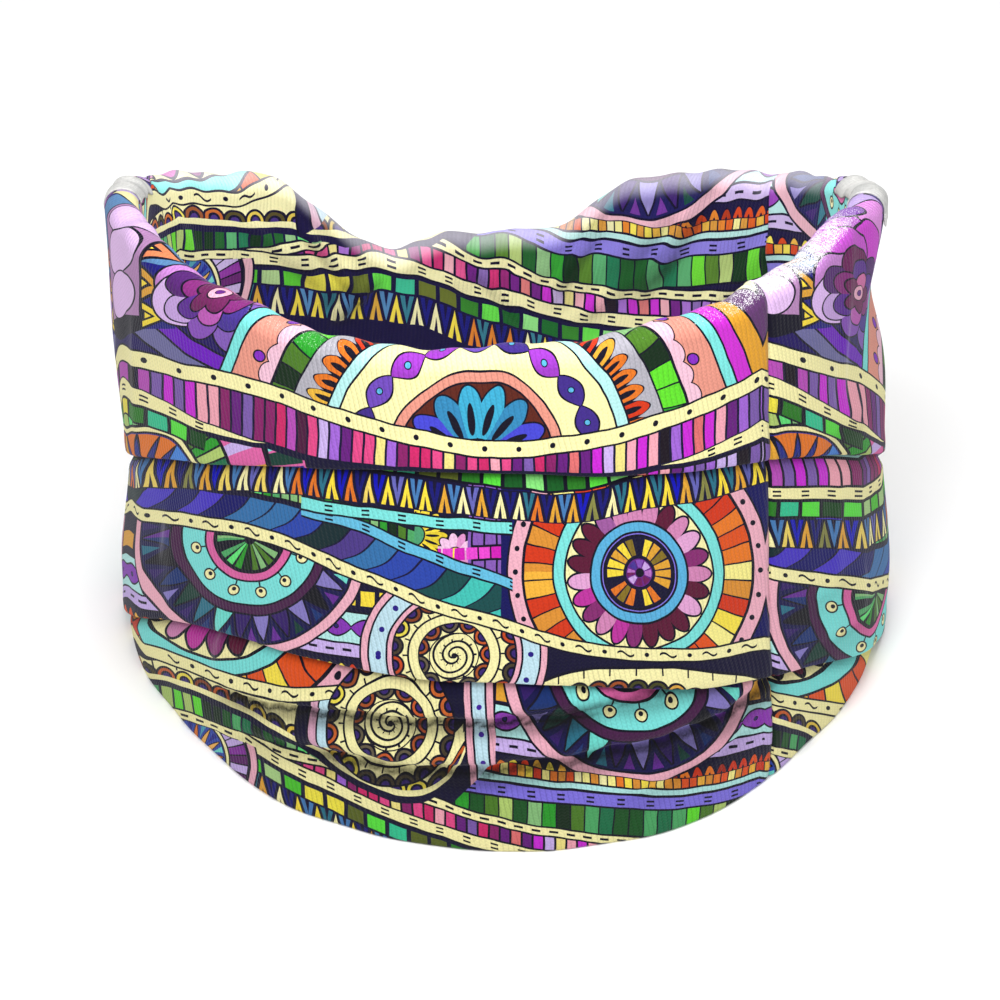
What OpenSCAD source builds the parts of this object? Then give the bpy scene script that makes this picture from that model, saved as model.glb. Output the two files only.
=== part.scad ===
// Pleated double-layer neck gaiter: three knit tiers that telescope like
// shingles, a lining in two overlapping sleeves, a rolled elastic rim and a
// narrow side panel set between two overlock seams.
// +Z up, -Y is the wearer's front. The origin is the middle of the footprint
// on the floor, at hem level. Angles run from the front centre towards +X.

/* [Size] */
// Half width of the hem, side to side
hem_half_w = 98.4; // [85:0.2:115]
// Depth from the widest line to the front of the hem
hem_front = 100.4; // [90:0.2:106]
// Depth from the widest line to the back of the hem
hem_back = 74; // [64:1:90]
// How far the side walls lean in at the lean height
lean_side = 5; // [0:0.5:8]
// How far the front wall leans in at the lean height
lean_front = 20.4; // [16:0.4:22]
// How far the back wall leans in at the lean height
lean_back = 12; // [6:1:14]
// Height at which the leans above are measured
lean_h = 130; // [110:5:150]
// Extra half width of the flared foot
flare = 6; // [0:0.5:7]
// Height up to which the sides flare
flare_h = 60; // [50:5:70]
// Sideways slouch of the top, towards -X
slouch = 3.5; // [0:0.5:5]

/* [Rim] */
// Height of the rim at the front centre
rim_front = 133; // [132:1:140]
// Mean height of the two rim peaks
rim_peak = 137; // [134:1:146]
// Height by which one rim peak stands over the mean and the other under it
rim_tilt = 1.5; // [0:0.5:2]
// Angle of the rim peaks from the front centre
rim_peak_at = 66; // [60:1:72]
// Height the rim falls to at the back, before its dip
rim_back = 86; // [84:1:92]
// Depth of the dip in the back rim, where the elastic pulls it down
dip = 13; // [6:1:15]
// Angle of the middle of that dip
dip_at = 189; // [184:1:194]
// Extra slump to one side of the dip
slump = 10; // [0:1:11]
// Radius of the rolled rim
roll_r = 4.1; // [3.9:0.1:4.4]

/* [Pleats] */
// Upper pleat edge at the front centre
high_front = 103.5; // [98:0.5:104.5]
// Upper pleat edge at the sides
high_side = 48; // [44:1:52]
// Lower pleat edge at the front centre
low_front = 48; // [40:0.5:50]
// Lift of the lower pleat edge to one side of the front
low_lift = 15; // [0:1:16]
// Tuck of the middle tier behind the upper one
tuck_high = 22; // [20:1:23]
// Tuck of the lower tier behind the middle one
tuck_low = 20; // [18:1:22]

/* [Cloth] */
// Thickness of the outer knit
cloth = 1.4; // [1.0:0.1:1.4]
// Thickness of the lining knit
lining_t = 1.0; // [0.8:0.1:1.0]
// Gap between nested tiers
ply_gap = 0.6; // [0.6:0.05:0.8]
// Angle of the front seam of the side panel
seam_front = 41; // [38:1:50]
// Angle of the back seam of the side panel
seam_back = 128; // [126:1:140]
// Radius of the rim elastic cord
cord_r = 1.5; // [1.0:0.1:1.6]
// Pitch of the overlock stitches
stitch = 3.2; // [2.8:0.2:5]

/* [Hidden] */

// Offsets of outer faces, measured outwards from the upper tier's outer face
middle_off = -(ply_gap + cloth);
lower_off = 2 * middle_off;
lower_lining_off = -5.2;
upper_lining_off = -2 * roll_r + lining_t;

// Pleat edges: the rest of their heights, and the lift of the lower one
high_back = -29.5;
low_side = -6;
low_back = -16.8;
high_min = 0.6;
low_min = 0.3;
low_lift_at = -54;
low_lift_w = 32;

// Rim line
rim_flat = 16;         // angle either side of the front centre kept level
rim_sway = 0.08;       // S-bend in the fall from peak to back
dip_reach = 36;        // half angle of the dip
dip_ramp = 22;         // angle over which the dip reaches its depth
slump_at = dip_at + 11;
slump_w = 9;

// Roll and linings
roll_hem = 3;          // straight edge below the inner side of the roll
roll_steps = 8;
cord_sides = 8;
lining_drop = 3.35;    // top of the upper lining below the roll's axis
hang_h = 80;           // the linings hang straight below this height
hang_rim = 7;          // and at least this far below the rim

// Elastic tapes
elastic_t = 1;
hem_tape = [2, 10];    // bottom and top heights

// Seams
tape_gap = 0.35;       // seam allowances sit this far off the cloth
tape_t = 0.6;
tape_half = 1.6;       // half width, degrees
tape_start = 1.5;      // bottom end above the tucked edge of the tier below
tape_end = 1;          // top end below the top of a lower or middle tier
tape_edge = 1.8;       // angle back from the seam where the pleat edge is read
thread_depth = 1;      // thread axis below the tape gap
thread_r = 0.28;
thread_half = 1.4;     // half length of a stitch, degrees
thread_margin = 1.5;   // first stitch above the tape's bottom end

col_step = 6;          // column spacing, degrees
sew = 0.02;            // panels stop this short of a seam, degrees
seams = [seam_front, seam_back];
tape_color = [0.16, 0.12, 0.30];
thread_color = [0.93, 0.92, 0.88];
facing_color = [0.74, 0.74, 0.72];
flat_elastic_color = [0.93, 0.93, 0.91];

// Blends and angles
function ease(t) = t <= 0 ? 0 : t >= 1 ? 1 : t * t * (3 - 2 * t);
function mix(from, to, t) = from + (to - from) * t;
function wrap(angle) = let (turn = angle - 360 * floor(angle / 360))
    turn > 180 ? turn - 360 : turn;
function bell(angle, centre, width) = let (t = wrap(angle - centre) / width) exp(-t * t);

// Leaning plan of the cloth at height z: one front and one back half ellipse
function lean(z, power) = pow(max(z, 0) / lean_h, power);
function half_width(z) =
    hem_half_w + flare * (1 - ease(z / flare_h)) - lean_side * lean(z, 1.3);
function half_depth(angle, z) = cos(angle) > 0
    ? hem_front - lean_front * lean(z, 1)
    : hem_back - lean_back * lean(z, 1);
function shift_x(z) = -slouch * lean(z, 1.5);

// Point at height z, off outwards from the plan taken at height plan_z
function uncentred(angle, z, off, plan_z) =
    let (w = half_width(plan_z),
         d = half_depth(angle, plan_z),
         s = sin(angle),
         c = cos(angle),
         normal = sqrt(d * d * s * s + w * w * c * c))
    [w * s + shift_x(z) + off * d * s / normal, -d * c - off * w * c / normal, z];
function point(angle, z, off, plan_z) = uncentred(angle, z, off, plan_z) - middle;

// Edge lines round the gaiter
function edge(front, side, back, angle) =
    (front + 2 * side + back) / 4
    + (front - back) / 2 * cos(angle)
    + (front - 2 * side + back) / 4 * cos(2 * angle);
function high_line(angle) = max(edge(high_front, high_side, high_back, angle), high_min);
function low_line(angle) =
    max(edge(low_front, low_side, low_back, angle)
        + low_lift * bell(angle, low_lift_at, low_lift_w), low_min);
function rim_line(angle) =
    let (away = abs(wrap(angle)),
         t = (away - rim_peak_at) / (180 - rim_peak_at))
    (away < rim_peak_at
        ? mix(rim_front, rim_peak, ease((away - rim_flat) / (rim_peak_at - rim_flat)))
        : mix(rim_peak, rim_back, t - rim_sway * sin(360 * t) * (1 - t) * (1 - t)))
    + (away < 90 ? rim_tilt * sin(2 * wrap(angle)) : 0)
    - dip * ease((dip_reach - abs(wrap(angle - dip_at))) / dip_ramp)
    - slump * bell(angle, slump_at, slump_w);
function roll_axis(angle) = rim_line(angle) - roll_r;

// Angles of the section columns
function columns(from, to) = let (n = max(1, round((to - from) / col_step)))
    [for (i = [0 : n]) mix(from, to, i / n)];
// The same list with its ends drawn in from the seams
function trim(list) = let (n = len(list) - 1)
    [for (i = [0 : n]) list[i] + (i == 0 ? sew : i == n ? -sew : 0)];

main_cols = columns(seam_back - 360, seam_front);   // round the back and the -X side
side_cols = columns(seam_front, seam_back);         // on the +X side
ring_cols = columns(0, 360 - col_step);

// Middle of the footprint, from the lowest edges of the three tiers
foot = [for (q = concat(main_cols, side_cols)) each [
    uncentred(q, high_line(q), 0, high_line(q)),
    uncentred(q, low_line(q), middle_off, low_line(q)),
    uncentred(q, 0, lower_off, 0)]];
foot_x = [for (p = foot) p[0]];
foot_y = [for (p = foot) p[1]];
middle = [(min(foot_x) + max(foot_x)) / 2, (min(foot_y) + max(foot_y)) / 2, 0];

// Line of points up one face of a ply; it hangs straight below hang_z
function line(angle, z0, z1, off, steps, hang_z = 0) =
    [for (j = [0 : steps]) let (z = mix(z0, z1, j / steps))
        point(angle, z, off, max(z, hang_z))];
// Arc of points round the axis of the rolled rim, 0 outwards and 90 up
function arc(angle, radius, from, to, steps) = let (axis_z = roll_axis(angle))
    [for (j = [0 : steps]) let (turn = mix(from, to, j / steps))
        point(angle, axis_z + radius * sin(turn), -roll_r + radius * cos(turn), axis_z)];

// Closed section loops: one face, then the other face backwards
function ply(angle, z0, z1, off, thick, steps, hang_z = 0) = concat(
    line(angle, z0, z1, off, steps, hang_z),
    line(angle, z1, z0, off - thick, steps, hang_z));
function lining_ply(angle, z0, z1, off, steps) =
    ply(angle, z0, z1, off, lining_t, steps, min(hang_h, rim_line(angle) - hang_rim));
function rolled_ply(angle, steps) =
    let (z0 = high_line(angle),
         axis_z = roll_axis(angle),
         z1 = mix(z0, axis_z, (steps - 1) / steps),
         inner_r = roll_r - cloth)
    concat(
        line(angle, z0, z1, 0, steps - 1),
        arc(angle, roll_r, 0, 180, roll_steps),
        [for (radius = [roll_r, inner_r])
            point(angle, axis_z - roll_hem, -roll_r - radius, axis_z)],
        arc(angle, inner_r, 180, 0, roll_steps),
        line(angle, z1, z0, -cloth, steps - 1));

// Solid swept through section loops, closed into a ring or capped at both ends.
// A cap is a ladder between the two faces of the ply, so a hooked section
// stays open inside its hook.
module sweep(loops, ring = false) {
    n = len(loops);
    m = len(loops[0]);
    last = ring ? n - 1 : n - 2;
    end = (n - 1) * m;
    sides = [for (i = [0 : last]) for (j = [0 : m - 1])
        let (next_i = (i + 1) % n,
             next_j = (j + 1) % m,
             a = i * m + j,
             b = i * m + next_j,
             c = next_i * m + next_j,
             d = next_i * m + j)
        each [[a, b, c], [a, c, d]]];
    caps = [for (j = [0 : m / 2 - 2])
        let (a = j, b = j + 1, c = m - 2 - j, d = m - 1 - j)
        each [[a, c, b], [a, d, c],
              [end + a, end + b, end + c], [end + a, end + c, end + d]]];
    polyhedron(points = [for (l = loops) each l], faces = ring ? sides : concat(sides, caps));
}

// Tiers and upper lining sleeve over a list of columns
module tier_upper(list) sweep([for (q = trim(list)) rolled_ply(q, 7)]);
module tier_middle(list) sweep([for (q = trim(list))
    ply(q, low_line(q), high_line(q) + tuck_high, middle_off, cloth, 6)]);
module tier_lower(list) sweep([for (q = trim(list))
    ply(q, 0, low_line(q) + tuck_low, lower_off, cloth, 5)]);
module sleeve_upper(list) sweep([for (q = trim(list))
    lining_ply(q, min(34, rim_line(q) - 46), roll_axis(q) - lining_drop,
               upper_lining_off, 5)]);

module upper_main_panel() color([0.45, 0.30, 0.62]) tier_upper(main_cols);
module upper_side_panel() color([0.72, 0.38, 0.75]) tier_upper(side_cols);
module middle_main_panel() color([0.20, 0.28, 0.62]) tier_middle(main_cols);
module middle_side_panel() color([0.92, 0.60, 0.25]) tier_middle(side_cols);
module lower_main_panel() color([0.25, 0.62, 0.32]) tier_lower(main_cols);
module lower_side_panel() color([0.93, 0.90, 0.66]) tier_lower(side_cols);
module upper_lining_main() color([0.90, 0.87, 0.66]) sleeve_upper(main_cols);
module upper_lining_side() color([0.94, 0.88, 0.62]) sleeve_upper(side_cols);

// Lower lining sleeve, free inside the upper one
module lower_lining() color([0.86, 0.86, 0.84])
    sweep([for (q = ring_cols)
        lining_ply(q, 1.5, min(64, rim_line(q) - 14), lower_lining_off, 4)], ring = true);

// Round cord inside the roll, and flat tapes inside the back rim and the hem
module rim_elastic() color([0.95, 0.95, 0.93])
    sweep([for (q = ring_cols)
        arc(q, cord_r, 0, 360 - 360 / cord_sides, cord_sides - 1)], ring = true);
module back_gather_elastic() color(flat_elastic_color)
    sweep([for (q = columns(150, 216))
        ply(q, rim_line(q) - 17, rim_line(q) - 9, -2.4, elastic_t, 2)]);
module hem_elastic() color(flat_elastic_color)
    sweep([for (q = ring_cols)
        ply(q, hem_tape[0], hem_tape[1], lower_off - cloth - 0.4, elastic_t, 2)],
        ring = true);

// Facing wrapped over the roll at each side: left is -X, right is +X
module facing(from, to) color(facing_color)
    sweep([for (q = columns(from, to)) concat(
        arc(q, roll_r + 0.9, 8, 172, roll_steps),
        arc(q, roll_r + 0.3, 172, 8, roll_steps))]);
module left_rim_facing() facing(-103, -79);
module right_rim_facing() facing(76, 106);

// Bottom and top heights of the seam allowance on each tier
function upper_span(angle) =
    [high_line(angle - tape_edge) + tuck_high + tape_start, rim_line(angle) - 8.5];
function middle_span(angle) =
    [low_line(angle - tape_edge) + tuck_low + tape_start,
     high_line(angle) + tuck_high - tape_end];
function lower_span(angle) = [hem_tape[1] + 1, low_line(angle) + tuck_low - tape_end];

// Seam allowance on the inner face of a tier, whose outer face is at off
module seam_tape(angle, span, off) color(tape_color)
    sweep([for (i = [-1 : 1])
        ply(angle + i * tape_half, span[0], span[1], off - cloth - tape_gap, tape_t, 8)]);

// Level overlock stitches up the inner side of that allowance
module seam_thread(angle, span, off) color(thread_color) {
    depth = off - cloth - tape_gap - thread_depth;
    last = floor((span[1] - span[0] - 2 * thread_margin) / stitch);
    for (i = [0 : last]) {
        z = span[0] + thread_margin + i * stitch;
        along = point(angle + thread_half, z, depth, z)
              - point(angle - thread_half, z, depth, z);
        translate(point(angle, z, depth, z))
            rotate([0, 0, atan2(along[1], along[0])])
            rotate([0, 90, 0])
            cylinder(h = norm(along), r = thread_r, center = true, $fn = 24);
    }
}

module upper_seam_tape() for (q = seams) seam_tape(q, upper_span(q), 0);
module upper_seam_thread() for (q = seams) seam_thread(q, upper_span(q), 0);
module middle_seam_tape() seam_tape(seam_front, middle_span(seam_front), middle_off);
module middle_seam_thread() seam_thread(seam_front, middle_span(seam_front), middle_off);
module lower_seam_tape() for (q = seams) seam_tape(q, lower_span(q), lower_off);
module lower_seam_thread() for (q = seams) seam_thread(q, lower_span(q), lower_off);

upper_main_panel();
upper_side_panel();
upper_lining_main();
upper_lining_side();
rim_elastic();
back_gather_elastic();
left_rim_facing();
right_rim_facing();
upper_seam_tape();
upper_seam_thread();
middle_main_panel();
middle_side_panel();
middle_seam_tape();
middle_seam_thread();
lower_main_panel();
lower_side_panel();
lower_seam_tape();
lower_seam_thread();
lower_lining();
hem_elastic();
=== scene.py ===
import bpy
import math
import numpy as np
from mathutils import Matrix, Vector


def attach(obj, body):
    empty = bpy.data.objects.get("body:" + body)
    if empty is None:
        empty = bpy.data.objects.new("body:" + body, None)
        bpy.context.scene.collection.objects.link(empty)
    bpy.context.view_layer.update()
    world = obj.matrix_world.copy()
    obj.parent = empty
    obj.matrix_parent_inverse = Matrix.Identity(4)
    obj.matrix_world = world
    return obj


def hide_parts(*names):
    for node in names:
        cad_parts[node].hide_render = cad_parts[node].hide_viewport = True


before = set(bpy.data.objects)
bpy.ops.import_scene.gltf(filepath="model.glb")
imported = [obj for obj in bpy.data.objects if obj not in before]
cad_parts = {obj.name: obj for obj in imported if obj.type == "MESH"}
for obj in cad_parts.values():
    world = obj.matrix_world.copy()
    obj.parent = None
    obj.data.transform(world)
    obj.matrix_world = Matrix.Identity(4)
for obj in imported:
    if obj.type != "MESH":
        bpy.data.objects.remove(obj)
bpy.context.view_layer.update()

# ---------------------------------------------------------------- driving sizes
ROLL = 4.1             # radius of the rolled rim
CLOTH = 1.4            # depth one tier takes up
GAP = 0.6              # between two tiers
PLY = 0.95             # thickness of the printed knit
FOLD_RADIUS = 0.42     # centre line of the turn at a folded edge
UPPER_OUT, MIDDLE_OUT, LOWER_OUT = 0.0, -(GAP + CLOTH), -2 * (GAP + CLOTH)
LOWER_LINING_OUT = -5.7
COLUMN_STEP = 0.75     # degrees between mesh columns
FRONT_SEAM, BACK_SEAM = 41.0, 128.0
GATHER = 189.0         # middle of the gathered low back
DEGREE = math.pi / 180

# name, first and last angle
PANELS = (("main", BACK_SEAM - 360, FRONT_SEAM), ("side", FRONT_SEAM, BACK_SEAM))
BODIES = {"upper": "upper", "middle": "middle", "lower": "base"}


# ---------------------------------------------------------------- the basic surface
def wrap(angle):
    return (np.asarray(angle, float) + 180.0) % 360.0 - 180.0


def smooth(value):
    """Smooth step from 0 to 1."""
    value = np.clip(value, 0, 1)
    return value * value * (3 - 2 * value)


def hump(offset, width):
    return np.exp(-(offset / width) ** 2)


def bell(angle, centre, width):
    return hump(wrap(angle - centre), width)


def lean(z, power):
    return (np.maximum(z, 0) / 130.0) ** power


def body_point(angle, z, out, section_z=None):
    """A point of the wall; section_z is the height its cross-section is taken from."""
    section_z = z if section_z is None else section_z
    angle, z, out, section_z = np.broadcast_arrays(
        *(np.asarray(v, float) for v in (angle, z, out, section_z)))
    sine, cosine = np.sin(angle * DEGREE), np.cos(angle * DEGREE)
    half_width = 98.4 + 6 * (1 - smooth(section_z / 60.0)) - 5 * lean(section_z, 1.3)
    half_depth = np.where(cosine > 0, 100.4 - 20.4 * lean(section_z, 1.0),
                          74 - 12 * lean(section_z, 1.0))
    norm = np.sqrt((half_depth * sine) ** 2 + (half_width * cosine) ** 2)
    return np.stack([half_width * sine - 3.5 * lean(z, 1.5) + out * half_depth * sine / norm,
                     -half_depth * cosine - out * half_width * cosine / norm, z], -1)


def level(front, side, back, angle):
    """A height that takes the three values in front, at the sides and at the back."""
    return ((front + 2 * side + back) / 4 + (front - back) / 2 * np.cos(angle * DEGREE)
            + (front - 2 * side + back) / 4 * np.cos(2 * angle * DEGREE))


def upper_hem(angle):
    return np.maximum(level(103.5, 48, -29.5, angle), 0.6)


def middle_hem(angle):
    return np.maximum(level(48, -6, -16.8, angle) + 15 * bell(angle, -54, 32), 0.3)


def upper_fold(angle):
    return upper_hem(angle) + 2.2 * bell(angle, -14, 18) + 1.8 * bell(angle, 46, 16)


def middle_fold(angle):
    return middle_hem(angle) + 3.0 * bell(angle, 52, 16)


def rim(angle):
    """Height of the rim: near level in front, falling to the back, dipped at the gather."""
    front, side, fall, corner = 133, 137, 51, 66
    away = np.abs(wrap(angle))
    share = (away - corner) / (180.0 - corner)
    slope = share - 0.08 * np.sin(2 * math.pi * share) * (1 - share) ** 2
    z = np.where(away < corner, front + (side - front) * smooth((away - 16) / 50.0),
                 side - fall * slope)
    z = z + np.where(away < 90, 1.5 * np.sin(2 * wrap(angle) * DEGREE), 0.0)
    dip = 13 * smooth((36 - np.abs(wrap(angle - GATHER))) / 22.0)
    return z - dip - 10 * bell(angle, 200, 9)


def outline_middle():
    angle = np.concatenate([np.linspace(BACK_SEAM - 360, FRONT_SEAM, 47),
                            np.linspace(FRONT_SEAM, BACK_SEAM, 16)])
    feet = np.concatenate([body_point(angle, upper_hem(angle), UPPER_OUT),
                           body_point(angle, middle_hem(angle), MIDDLE_OUT),
                           body_point(angle, 0, LOWER_OUT)])
    middle = (feet.min(0) + feet.max(0)) / 2
    middle[2] = 0
    return middle


MIDDLE = outline_middle()


def at(angle, z, out, section_z=None):
    return body_point(angle, z, out, section_z) - MIDDLE


# ---------------------------------------------------------------- the camera's place
ELEVATION = 38 * DEGREE
DISTANCE = 700.0
VIEW_WIDTH = 262.4     # seen by the camera at the target
TARGET = np.array([-2.0, 0.0, 32.0]) - MIDDLE
EYE = TARGET + DISTANCE * np.array([0, -math.cos(ELEVATION), math.sin(ELEVATION)])


def view_place(point):
    """Where a point falls in the camera's view, in print units: thousandths of the view's
    width, x to the right and y down."""
    offset = point - EYE
    depth = offset @ np.array([0, math.cos(ELEVATION), -math.sin(ELEVATION)])
    rise = offset @ np.array([0, math.sin(ELEVATION), math.cos(ELEVATION)])
    focal = 1000 * DISTANCE / VIEW_WIDTH
    return 500 + focal * offset[..., 0] / depth, 500 - focal * rise / depth


# ---------------------------------------------------------------- how the cloth hangs
# amplitude, waves round the ring, phase and phase per mm of height (radians)
SWAYS = ((0.60, 3, 0.6, 0.010), (0.46, 7, -1.1, -0.016), (0.30, 11, 2.2, 0.022),
         (0.15, 19, 0.4, -0.03), (0.10, 29, -2.0, 0.03))
# angle, lower end, upper end, strength, width in degrees
PULLS = ((-66, 70, 118, 0.9, 2.0), (62, 92, 150, 0.9, 1.8), (-58, 28, 70, 1.0, 2.4),
         (58, 40, 84, 0.8, 2.2), (-88, 30, 120, 1.1, 4.0), (96, 30, 110, 1.1, 4.0))
# the gleams are painted highlight streaks, listed in the same columns as the pulls
GLEAMS = ((63, 88, 122, 0.6, 0.7), (58, 90, 112, 0.35, 0.4), (-61, 44, 66, 0.5, 0.6),
          (-47, 22, 50, 0.35, 0.5), (-66, 84, 120, 0.35, 0.5), (66, 24, 46, 0.35, 0.5))
# line of (angle, z), depth of the valley, lip over it, width, strength of the painted shade
LOWER_CREASES = (
    (((-50, 22), (-39, 27.5), (-25, 34.5), (-11, 37.8), (0, 38.8), (10, 39.6), (18, 41)),
     1.5, 1.1, 0.75, 1.0),
    (((-33, 22), (-25, 23.4), (-11, 23.6), (-3, 24.2), (9, 28.0), (20, 29.6), (31, 29.4),
      (41, 30.5), (47, 33)), 2.3, 1.9, 1.5, 0.9),
    (((-4, 39.4), (9, 41.4), (21, 42.2), (32, 41.0), (40, 38)), 1.2, 1.3, 0.9, 0.75),
    (((-46, 12), (-38, 17), (-29, 20.5), (-20, 21.5)), 1.0, 0.8, 1.3, 0.35),
    (((12, 13), (22, 16.5), (33, 20), (42, 24)), 1.1, 0.9, 1.4, 0.3),
)
MIDDLE_CREASES = (
    (((-62, 33), (-48, 30), (-34, 30.5)), 0.5, 0.6, 1.8, 0.12),
    (((48, 34), (60, 28), (74, 20)), 0.9, 0.9, 2.0, 0.25),
    (((44, 52), (54, 46), (66, 42)), 0.7, 0.7, 1.8, 0.2),
)
UPPER_CREASES = (
    (((-50, 92), (-42, 84), (-33, 80)), 0.7, 0.7, 1.6, 0.2),
    (((50, 96), (60, 86), (72, 82)), 0.9, 0.9, 2.0, 0.3),
    (((36, 112), (44, 104), (52, 100)), 0.5, 0.5, 1.6, 0.12),
)
# slanting creases of the lining: first angle and z, last angle and z, depth, width
LINING_FOLDS = (
    (143, 101, 157, 62, 2.6, 2.4), (163, 88, 172, 60, 2.2, 2.0), (186, 66, 178, 46, 1.8, 2.0),
    (203, 68, 212, 58, 2.4, 2.2), (216, 84, 206, 58, 2.0, 1.9), (151, 78, 170, 50, 1.5, 2.6),
    (229, 92, 214, 66, 1.3, 2.4), (128, 92, 146, 58, 1.4, 3.0), (108, 96, 122, 60, 1.0, 3.0),
    (250, 104, 238, 70, 1.0, 3.2), (20, 120, 32, 84, 0.8, 3.0), (-18, 118, -30, 84, 0.8, 3.0))


def drape(angle, z):
    """Soft unevenness shared by all plies, so that they stay nested."""
    sway = sum(size * np.sin(waves * angle * DEGREE + phase + z * drift)
               for size, waves, phase, drift in SWAYS)
    foot = 1 - smooth(z / 40.0)
    waist = 4.2 * bell(angle, 88, 24) * hump(z - 103, 16.0)
    left_hollow = 1.1 * bell(angle, -92, 26) * hump(z - 54, 20.0)
    tucks = 3.0 * bell(angle, 58, 28) + 1.8 * bell(angle, -60, 25)
    return sway - waist - tucks * foot - left_hollow


def ripples(angle, z):
    """Ripples where the elastic gathers the low back."""
    depth = np.exp(-np.maximum(rim(angle) - z, 0) / 26.0)
    away = wrap(angle - GATHER)
    reach = smooth((44 - np.abs(away)) / 26.0)
    phase = away / 7.4 * math.pi + 0.7 * np.sin(away * 0.19)
    return reach * depth * (1.05 * np.sin(phase) + 0.4 * np.sin(2.3 * phase + 1.0))


def rim_shift(angle):
    """Small rise and fall of the rim."""
    return (0.5 * np.sin(angle * 0.31 + 1.0) + 0.35 * np.sin(angle * 0.83)
            + ripples(angle + 3.0, rim(angle)) * 0.4)


def groove(angle):
    """The panels dip where they meet at the seams."""
    away = np.minimum(np.abs(wrap(angle - FRONT_SEAM)), np.abs(wrap(angle - BACK_SEAM)))
    return -0.55 * hump(away, 0.55)


def streaks(angle, z, table, steep):
    """Narrow upright streaks that fade at both ends."""
    total = 0
    for centre, low, high, strength, width in table:
        share = (z - low) / (high - low)
        ends = smooth(share * steep) * smooth((1 - share) * steep)
        across = wrap(angle - centre - 3.0 * (share - 0.5))
        total = total + strength * ends * hump(across, width)
    return total


def pull(angle, z):
    """Shallow vertical pulls near the sides of the front."""
    return streaks(angle, z, PULLS, 3)


def gleam(angle, z):
    """Painted highlight streaks where the cloth is stretched over the sides."""
    return 0.22 * streaks(angle, z, GLEAMS, 2.5)


def crease(angle, z, line, depth, lip, width):
    """A valley under a small overhang along a line, fading at its ends: offset and painted
    shade.
    """
    away = wrap(angle)
    angles, heights = zip(*line)
    first, last = angles[0], angles[-1]
    fit = np.polyfit(angles, heights, min(4, len(line) - 1))
    ends = smooth((away - first) / 9.0) * smooth((last - away) / 9.0)
    over = (z - np.polyval(fit, np.clip(away, first, last)) - 0.35 * np.sin(away * 0.55)
            - 0.2 * np.sin(away * 1.3 + 1))
    offset = ends * (-0.55 * depth * hump(over, width)
                     + 0.42 * lip * hump(over - 2.3 * width, 2.2 * width)
                     - 0.12 * lip * hump(over + 2.8 * width, 2.4 * width))
    # painted shade: a dark core just below the valley line and a wider, fainter halo under it
    ragged = 0.25 * np.sin(away * 2.3 + 1) + 0.15 * np.sin(away * 5.1)
    core = hump(over + 1.0 + 0.5 * width + ragged, 0.8 + 0.5 * width)
    halo = 0.6 * hump(over + 2.0 + 1.2 * width, 1.4 + 1.2 * width)
    return offset, ends * np.maximum(core, halo)


def crease_field(table, fold=None, line_dark=0, halo_dark=0):
    """Offset of a tier's creases; painted shade along them and under the fold above it."""
    def field(angle, z):
        offset, dark = 0, 0
        for line, depth, lip, width, shade_strength in table:
            one_offset, one_dark = crease(angle, z, line, depth, lip, width)
            offset, dark = offset + one_offset, np.maximum(dark, one_dark * shade_strength)
        # painted shade along the line under the fold of the tier above
        if fold is not None:
            over = z - fold(angle)
            dark = np.maximum(dark, line_dark * hump(over + 0.2, 0.9)
                              + halo_dark * hump(over, 3.0))
        return offset, dark
    return field


def lining_folds(angle, z):
    """Slanting creases of the slack upper lining; negative is inward."""
    total = 0
    for angle_0, z_0, angle_1, z_1, depth, width in LINING_FOLDS:
        away_x, away_z = wrap(angle - angle_0) * 1.6, z - z_0
        run_x, run_z = wrap(angle_1 - angle_0) * 1.6, z_1 - z_0
        length = math.hypot(run_x, run_z)
        along = (away_x * run_x + away_z * run_z) / (length * length)
        across = (away_x * run_z - away_z * run_x) / length
        ends = smooth((along + 0.25) / 0.35) * smooth((1.2 - along) / 0.45)
        total = total - depth * ends * (hump(across - width, width)
                                        + 0.55 * hump(across + 2.1 * width, 1.5 * width))
    return total


# ---------------------------------------------------------------- meshes
def finish_mesh(mesh, uvs, attributes=None):
    """Smooth faces, UV maps and attributes (given per vertex), and an object for the mesh."""
    mesh.polygons.foreach_set("use_smooth", np.ones(len(mesh.polygons), bool))
    corners = np.zeros(len(mesh.loops), np.int32)
    mesh.loops.foreach_get("vertex_index", corners)
    for name, values in uvs.items():
        layer = mesh.uv_layers.new(name=name)
        layer.data.foreach_set("uv", values[corners].astype(np.float32).ravel())
    for name, values in (attributes or {}).items():
        layer = mesh.attributes.new(name, "FLOAT", "POINT")
        layer.data.foreach_set("value", values.astype(np.float32))
    mesh.validate()
    mesh.update()
    ob = bpy.data.objects.new(mesh.name, mesh)
    bpy.context.scene.collection.objects.link(ob)
    return ob


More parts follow.
